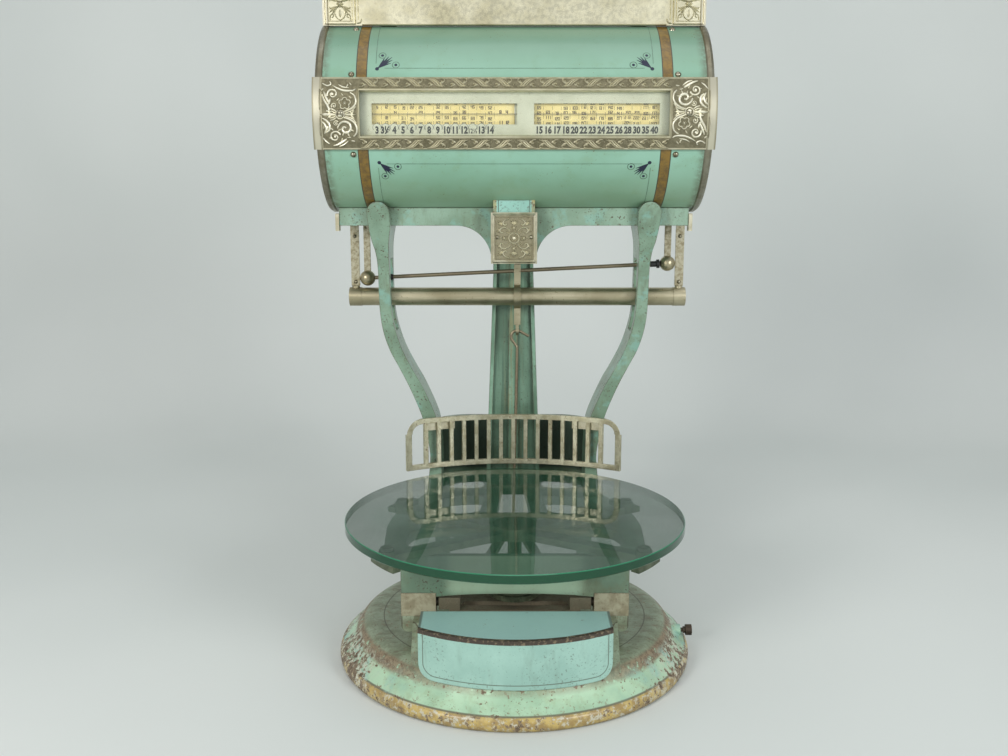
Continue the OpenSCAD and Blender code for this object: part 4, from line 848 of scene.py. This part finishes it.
def tablet_relief():
    mesh = bmesh.new()
    place = on_front(TABLET_Y)
    low, high = TABLET_LOW + 1.6, TABLET_HIGH - 2.4
    panel = [(190, low), (226, low), (226, high - 8), (218, high), (190, high), (190, low)]
    inset = [(193.5, low + 3.4), (222.5, low + 3.4), (222.5, high - 9), (216, high - 3.4), (193.5, high - 3.4),
             (193.5, low + 3.4)]
    for side in SIDES:
        ribbon(mesh, line_of(mirror(panel, side), 4), 0.9, 1.4, place)
        ribbon(mesh, line_of(mirror(inset, side), 4), 0.45, 0.9, place)
        spot = moved(place, side * 208, (low + high) / 2)
        for up in SIDES:
            for way in SIDES:
                for points in ([(0, 18.5), (4.4, 15.5), (6.4, 9.5), (4.2, 4.8), (1.2, 3.2)],
                               [(12.4, 18.6), (11.8, 13.4), (8.6, 11.2), (8.4, 14.6), (10.2, 15.4)]):
                    rib(mesh, spot, mirror(points, way, up), 0.6, 1.1, 0.3)
                for turn, length in ((18, 9.6), (36, 12), (54, 10.4)):
                    blade(mesh, spot, way * 3.4, up * 2.8, turn * up, length, 1.1, 1.3, flip=way)
                stud(mesh, spot, way * 12, up * 4, 0.9, 1, 1, 6)
            blade(mesh, spot, 0, up * 6.4, 90 * up, 9, 1.6, 1.3)
        rosette(mesh, spot, 4.4, 8, 1.5)
        # Bracket between the panel and the plain field
        for points in ([(188, low + 0.8), (184, low + 2), (182.4, low + 6)],
                       [(188, high - 0.8), (184, high - 2), (182.4, high - 6)]):
            rib(mesh, place, mirror(points, side), 0.8, 1.1, 0.3)
        ribbon(mesh, line_of(mirror([(186.4, low + 5), (186.4, high - 5)], side), 5), 0.5, 0.9, place)
    for edge in (TABLET_LOW + 0.9, TABLET_HIGH - 1.4):
        ribbon(mesh, line_of([(-182, edge), (182, edge)], 8), 0.9, 1.2, place)
    # Shell on the crest, with a scroll and a leafy stem on each side
    crest = moved(place, 0, TABLET_HIGH)
    for i in range(-5, 6):
        blade(mesh, crest, 0, -1, 90 - i * 14, 17 - abs(i) * 0.5, 1.9, 1.5)
    stud(mesh, crest, 0, -1, 3.4, 2)
    for side in SIDES:
        spot = moved(crest, side * 30, 5, 0, 1, side)
        ribbon(mesh, curl(1.4, 6.5), lambda t: 1.2 * (1 - 0.35 * t), 1.5, spot)
        stud(mesh, spot, 0, 0, 1.3, 1.5)
        rib(mesh, crest, mirror([(38, 4), (56, 8), (74, 1), (92, -4), (118, -5)], side), 1, 1.2, 0.7)
        for i in range(4):
            blade(mesh, crest, side * (46 + 14 * i), 3 - 3.4 * i, 40, 7.5, 1.4, 1.2, 1.2, side)
    return mesh


piece("tablet_relief", tablet_relief(), "frame", "relief_nickel")


# Cover plate over the rack: a rosette in a ring, with scrolls in the corners


def cover_relief():
    mesh = bmesh.new()
    border = moved(on_front(COVER_Y), 0, COVER_Z)
    place = moved(on_front(COVER_Y + 0.8), 0, COVER_Z)
    # Smooth raised border
    for width, high, far, tall in ((1.7, 1.1, 26, 28.7), (0.45, 0.9, 23, 25.9)):
        for side in SIDES:
            ribbon(mesh, line_of([(side * far, -tall), (side * far, tall)], 8), width, high, border)
            ribbon(mesh, line_of([(-far, side * tall), (far, side * tall)], 8), width, high, border)
    ribbon(mesh, arc_line(6.4, 0, 360, 20), 1, 1.7, place, 0.3, 4)
    ribbon(mesh, arc_line(3.8, 0, 360, 14), 0.6, 1.3, place)
    stud(mesh, place, 0, 0, 2.3, 1.5, 4, 12)
    for i in range(12):
        turn = radians(15 + 30 * i)
        leaf(mesh, moved(place, 7.2 * cos(turn), 7.2 * sin(turn), turn), 2.6, 0.7, 1.3)
    for up in SIDES:
        rosette(mesh, moved(place, 0, up * 12.6), 3.6, 6, 1.8, radians(30))
        for turn in (-58, -30, 0, 30, 58):
            blade(mesh, place, 0, up * 16.6, 90 * up + turn, 7.4 - abs(turn) * 0.03, 1.2, 1.6)
        for way in SIDES:
            for points in ([(4.6, 8.6), (9, 12.2), (14, 12.8), (17.4, 9.6), (15.6, 6.4), (12.8, 7.6)],
                           [(6.2, 24), (10.8, 22.4), (13.6, 18.6), (11, 15.6), (8.4, 17.4)]):
                rib(mesh, place, mirror(points, way, up), 0.95, 1.6, 0.3)
            for turn, size in ((20, 6.4), (45, 8.6), (70, 6.4)):
                blade(mesh, place, way * 14.4, up * 15.8, turn * up, size, 1.2, 1.7, flip=way)
            blade(mesh, place, way * 18.2, up * 12.6, -75 * up, 6, 1, 1.5, flip=way)
            blade(mesh, place, way * 5.6, up * 4.8, 35 * up, 6.4, 1, 1.5, 0.8 * up, flip=way)
            for x, y, radius in ((20.8, 8.6, 0.9), (4.4, 20.6, 0.8), (17.6, 24.4, 0.9)):
                stud(mesh, place, way * x, up * y, radius, 1.3, 1, 8)
    for way in SIDES:
        rosette(mesh, moved(place, way * 12, 0), 3.2, 6, 1.7)
        leaf(mesh, moved(place, way * 16.4, 0, 0, 1, way), 4.4, 1.3, 1.5)
    return mesh


piece("cover_relief", cover_relief(), "frame", "fitting_nickel")


# Fine lines, feathers and eyes painted on the barrel


def barrel_lines(rear, inked):
    """The thin pinstripes and rings, or the feathers and pupils."""
    mesh = bmesh.new()
    place = on_barrel(SHELL_R, rear)

    def arc(degrees):
        return radians(degrees) * SHELL_R

    for side in SIDES:
        for up, head, line in ((1, 26.6, 27.0), (-1, -29.2, -30.0)):
            spot = moved(place, side * 158.6, arc(head), 0, up, -side * up)
            if inked:
                stud(mesh, spot, 0, 0, 2.3, 0.12, 1, 12)
                for turn, length, bend in ((35, 16.0, -3.2), (39, 20.0, -1.8), (43, 22.0, 0.2), (47, 20.0, 2.0),
                                           (51, 16.0, 3.4)):
                    feather = moved(spot, 0.8, 0.8, radians(turn))
                    ribbon(mesh, [(length * t, bend * t * t) for t in (0, 0.2, 0.4, 0.6, 0.8, 1)],
                           lambda t: max(0.18, 1.1 * sin(pi * min(1, 0.1 + 0.84 * t)) ** 1.3), 0.1, feather,
                           0.2, 1)
            for ex, ey in ((21.5, 5.2), (5.6, 18.6)):
                eye = moved(spot, ex, ey)
                if inked:
                    stud(mesh, eye, 0, 0, 1.8, 0.12, 1, 10)
                else:
                    ribbon(mesh, arc_line(4.1, 0, 360, 18), 0.42, 0.1, eye, 0.2, 1)
            if not inked:
                tall = 89.5 if up > 0 else -89.5
                ribbon(mesh, line_of([(side * 160.0, arc(head + up * 3.5)), (side * 160.0, arc(tall))], 3.5), 0.3, 0.1,
                       place, 0.2, 1)
                if side > 0:
                    ribbon(mesh, line_of([(-150, arc(line)), (150, arc(line))], 12), 0.3, 0.1, place, 0.2, 1)
    return mesh


for rear in (False, True):
    prefix = "rear_" if rear else ""
    piece(prefix + "barrel_lines", barrel_lines(rear, False), "frame", "barrel_paint", LINE_INK)
    piece(prefix + "barrel_feathers", barrel_lines(rear, True), "frame", "barrel_paint", FEATHER_INK)


# Figures: bold numerals on the mask, small ones on the drum


def numerals(mesh, text, size, x, arc, place, weight):
    """Sets a line of numerals, made a mesh, middle at x, foot at arc."""
    curve = bpy.data.curves.new("numerals", "FONT")
    curve.body = text
    curve.size = size
    curve.align_x = "CENTER"
    curve.offset = weight * size * 0.012
    curve.resolution_u = 2
    holder = shown("numerals", curve)
    data = bpy.data.meshes.new_from_object(holder)
    bpy.data.objects.remove(holder)
    fresh = bmesh.new()
    fresh.from_mesh(data)
    for vert in fresh.verts:
        vert.co = place(x + vert.co.x * 0.8, arc + vert.co.y, 0.08)
    fresh.to_mesh(data)
    fresh.free()
    mesh.from_mesh(data)


def mask_figures():
    mesh = bmesh.new()
    place = on_barrel(MASK_R + 0.06)
    for sign, x in zip(LEFT_SIGNS + RIGHT_SIGNS, LEFT_COLUMNS + RIGHT_COLUMNS):
        size, weight = (10.8, 4.2) if len(sign) < 3 else (7.6, 1.6)
        numerals(mesh, sign, size, x, FIGURE_FOOT, place, weight)
    for x in LEFT_COLUMNS:
        ribbon(mesh, arc_line(4.75, -30, 210, 14), 0.2, 0.03, moved(place, x, FIGURE_FOOT + 6.4), 0.1, 1)
    return mesh


def mask_tabs():
    """Round tabs over the left figures, and a screen behind the sight's right end."""
    mesh = bmesh.new()
    place = on_barrel(MASK_R)
    half_round = [(-4.6 * cos(radians(a)), 0) for a in range(0, 181, 15)]
    for x in LEFT_COLUMNS:
        ribbon(mesh, half_round, lambda t: 4.6 * sin(pi * t) + 0.01, 0.05, moved(place, x, FIGURE_FOOT + 6.4), 0.1, 1)
    behind = DRUM_R - 1.0
    tall = radians(11.2) * MASK_R
    scale = behind / MASK_R
    screen = on_barrel(behind)
    points = [(0.5, 0.0), (4.2, 0.0), (4.2, MASK_R - DRUM_R - 0.1)]
    for step in range(8):
        low, high = (-tall + tall * step / 4) * scale, (-tall + tall * (step + 1) / 4) * scale
        for (xa, ha), (xb, hb) in zip(points, points[1:]):
            corners = [screen(xa, low, ha), screen(xb, low, hb), screen(xb, high, hb), screen(xa, high, ha)]
            mesh.faces.new([mesh.verts.new(corner) for corner in corners])
    return mesh


piece("mask_tabs", mask_tabs(), "frame", "mask_card", loose=True)
piece("mask_figures", mask_figures(), "frame", "mask_card", MASK_INK, True)

# A digit's strokes: the middle of each, across and up, and how far it runs and rises, in parts of the digit's size
STROKES = {
    "a": (0.5, 1.0, 1.0, 0), "b": (1.0, 0.75, 0, 0.5), "c": (1.0, 0.25, 0, 0.5), "d": (0.5, 0.0, 1.0, 0),
    "e": (0.0, 0.25, 0, 0.5), "f": (0.0, 0.75, 0, 0.5), "g": (0.5, 0.5, 1.0, 0),
}
DIGITS = "abcdef bc abged abgcd fgbc afgcd afgedc abc abcdefg abcdfg".split()


def small_number(mesh, text, x, arc, tall, weight, place):
    """A tiny number in plain strokes."""
    wide = tall * 0.52
    pitch = wide + tall * 0.3
    left = x - (len(text) * pitch - tall * 0.3) / 2
    for i, letter in enumerate(text):
        for key in DIGITS[int(letter)]:
            sx, sy, run, rise = STROKES[key]
            verts = bmesh.ops.create_grid(mesh, x_segments=1, y_segments=1, size=0.5)["verts"]
            w, h = run * wide + weight, rise * tall + weight
            for vert in verts:
                vert.co = place(left + i * pitch + sx * wide + vert.co.x * w, arc + sy * tall + vert.co.y * h, 0.05)


def chart_figures():
    """A block of rows, turned round the drum until it is full."""
    random.seed(31)
    mesh = bmesh.new()
    place = on_barrel(DRUM_R)
    blocks, rows = 13, 8
    pitch = 2 * pi * DRUM_R / (blocks * rows)
    columns = [(x, 8 + 3 * i) for i, x in enumerate(LEFT_COLUMNS)]
    columns += [(x, 60 + 9 * i) for i, x in enumerate(RIGHT_COLUMNS)]
    for row in range(rows):
        arc = row * pitch
        for index, (x, value) in enumerate(columns):
            if random.random() < 0.16:
                continue
            shift = random.uniform(-0.9, 0.9)
            small_number(mesh, str(value + row * (1 + index // 3)), x, arc + shift, 3.0, 0.66, place)
        if row % 2 == 0:
            small_number(mesh, str(8 + row // 2), -16.5, arc + 0.6, 3.4, 0.95, place)
            small_number(mesh, str(4 * (row % 4 + 1)), -9, arc + 0.6, 3.4, 0.95, place)
    for i in range(15):
        for x in (-165.1 + i * LEFT_PITCH, 23.4 + i * RIGHT_PITCH):
            ribbon(mesh, line_of([(x, -1.5), (x, rows * pitch - 1.5)], 8), 0.16, 0.04, place, 0.05, 1)
    bmesh.ops.spin(mesh, geom=mesh.verts[:] + mesh.edges[:] + mesh.faces[:], cent=(0, BARREL_Y, BARREL_Z),
                   axis=(1, 0, 0), angle=2 * pi * (blocks - 1) / blocks, steps=blocks - 1, use_duplicate=True)
    return mesh


piece("chart_figures", chart_figures(), "drum", "chart_paper", FIGURE_INK, True)


# Camera, floor, backdrop and lamps

camera = bpy.data.cameras.new("camera")
camera.sensor_fit = "HORIZONTAL"
camera.sensor_width = 36
camera.lens = 37.286
camera.clip_end = 50
eye = shown("camera", camera)
eye.location = (-0.0123, -1.199, 0.5575)
eye.rotation_euler = (radians(90 - 10.54), 0, 0)
bpy.context.scene.camera = eye


def backdrop():
    """A floor that curves up into a wall behind the object."""
    mesh = bmesh.new()
    flat, bend, wall = 4.6, 0.55, 2.6
    verts = bmesh.ops.create_grid(mesh, x_segments=1, y_segments=60, size=1)["verts"]
    total = flat + bend * pi / 2 + wall
    for vert in verts:
        run = (vert.co.y + 1) / 2 * total
        turn = min(max((run - flat) / bend, 0), pi / 2)
        y = -3.6 + min(run, flat) + bend * sin(turn)
        z = bend * (1 - cos(turn)) + max(0, run - flat - bend * pi / 2)
        vert.co = (vert.co.x * 4.5, y, z)
    data = rounded("backdrop", mesh)
    f = Finish("backdrop_paper", 0.9)
    f.colour = f.mix(f.cloud(0.3, 0.7, 900, 2), (228, 232, 229), (220, 225, 222))
    data.materials.append(f.close().material)
    made = shown("backdrop", data)


def lamp(name, spot, aim, size, power, colour=(1, 1, 1)):
    data = bpy.data.lights.new(name, "AREA")
    data.shape = "DISK"
    data.size = size
    data.energy = power
    data.color = colour
    made = shown(name, data)
    made.location = spot
    made.rotation_euler = (Vector(aim) - Vector(spot)).to_track_quat("-Z", "Y").to_euler()


backdrop()
lamp("left_lamp", (-1.4, -1.9, 1.15), (0, 0, 0.45), 0.8, 30, (1.0, 0.985, 0.96))
lamp("right_lamp", (1.5, -1.8, 1.05), (0, 0, 0.45), 0.8, 25, (0.97, 0.99, 1.0))
lamp("top_lamp", (0.1, -0.4, 2.3), (0, 0.0, 0.3), 1.6, 7)
world = bpy.data.worlds.new("studio")
world.use_nodes = True
nodes, links = world.node_tree.nodes, world.node_tree.links
sky = nodes["Background"].inputs
sky["Color"].default_value = (0.94, 0.98, 1.0, 1)
# Seen directly, in metal or through glass the surroundings are pale; as light on the object they are softer
rays = nodes.new("ShaderNodeLightPath").outputs
seen = rays["Is Camera Ray"]
for ray in ("Is Glossy Ray", "Is Transmission Ray"):
    either = nodes.new("ShaderNodeMath")
    either.operation = "MAXIMUM"
    links.new(seen, either.inputs[0])
    links.new(rays[ray], either.inputs[1])
    seen = either.outputs[0]
level = nodes.new("ShaderNodeMapRange")
level.inputs["To Min"].default_value = 0.36
level.inputs["To Max"].default_value = 0.64
links.new(seen, level.inputs["Value"])
links.new(level.outputs[0], sky["Strength"])
bpy.context.scene.world = world
bpy.context.scene.view_settings.view_transform = "Standard"
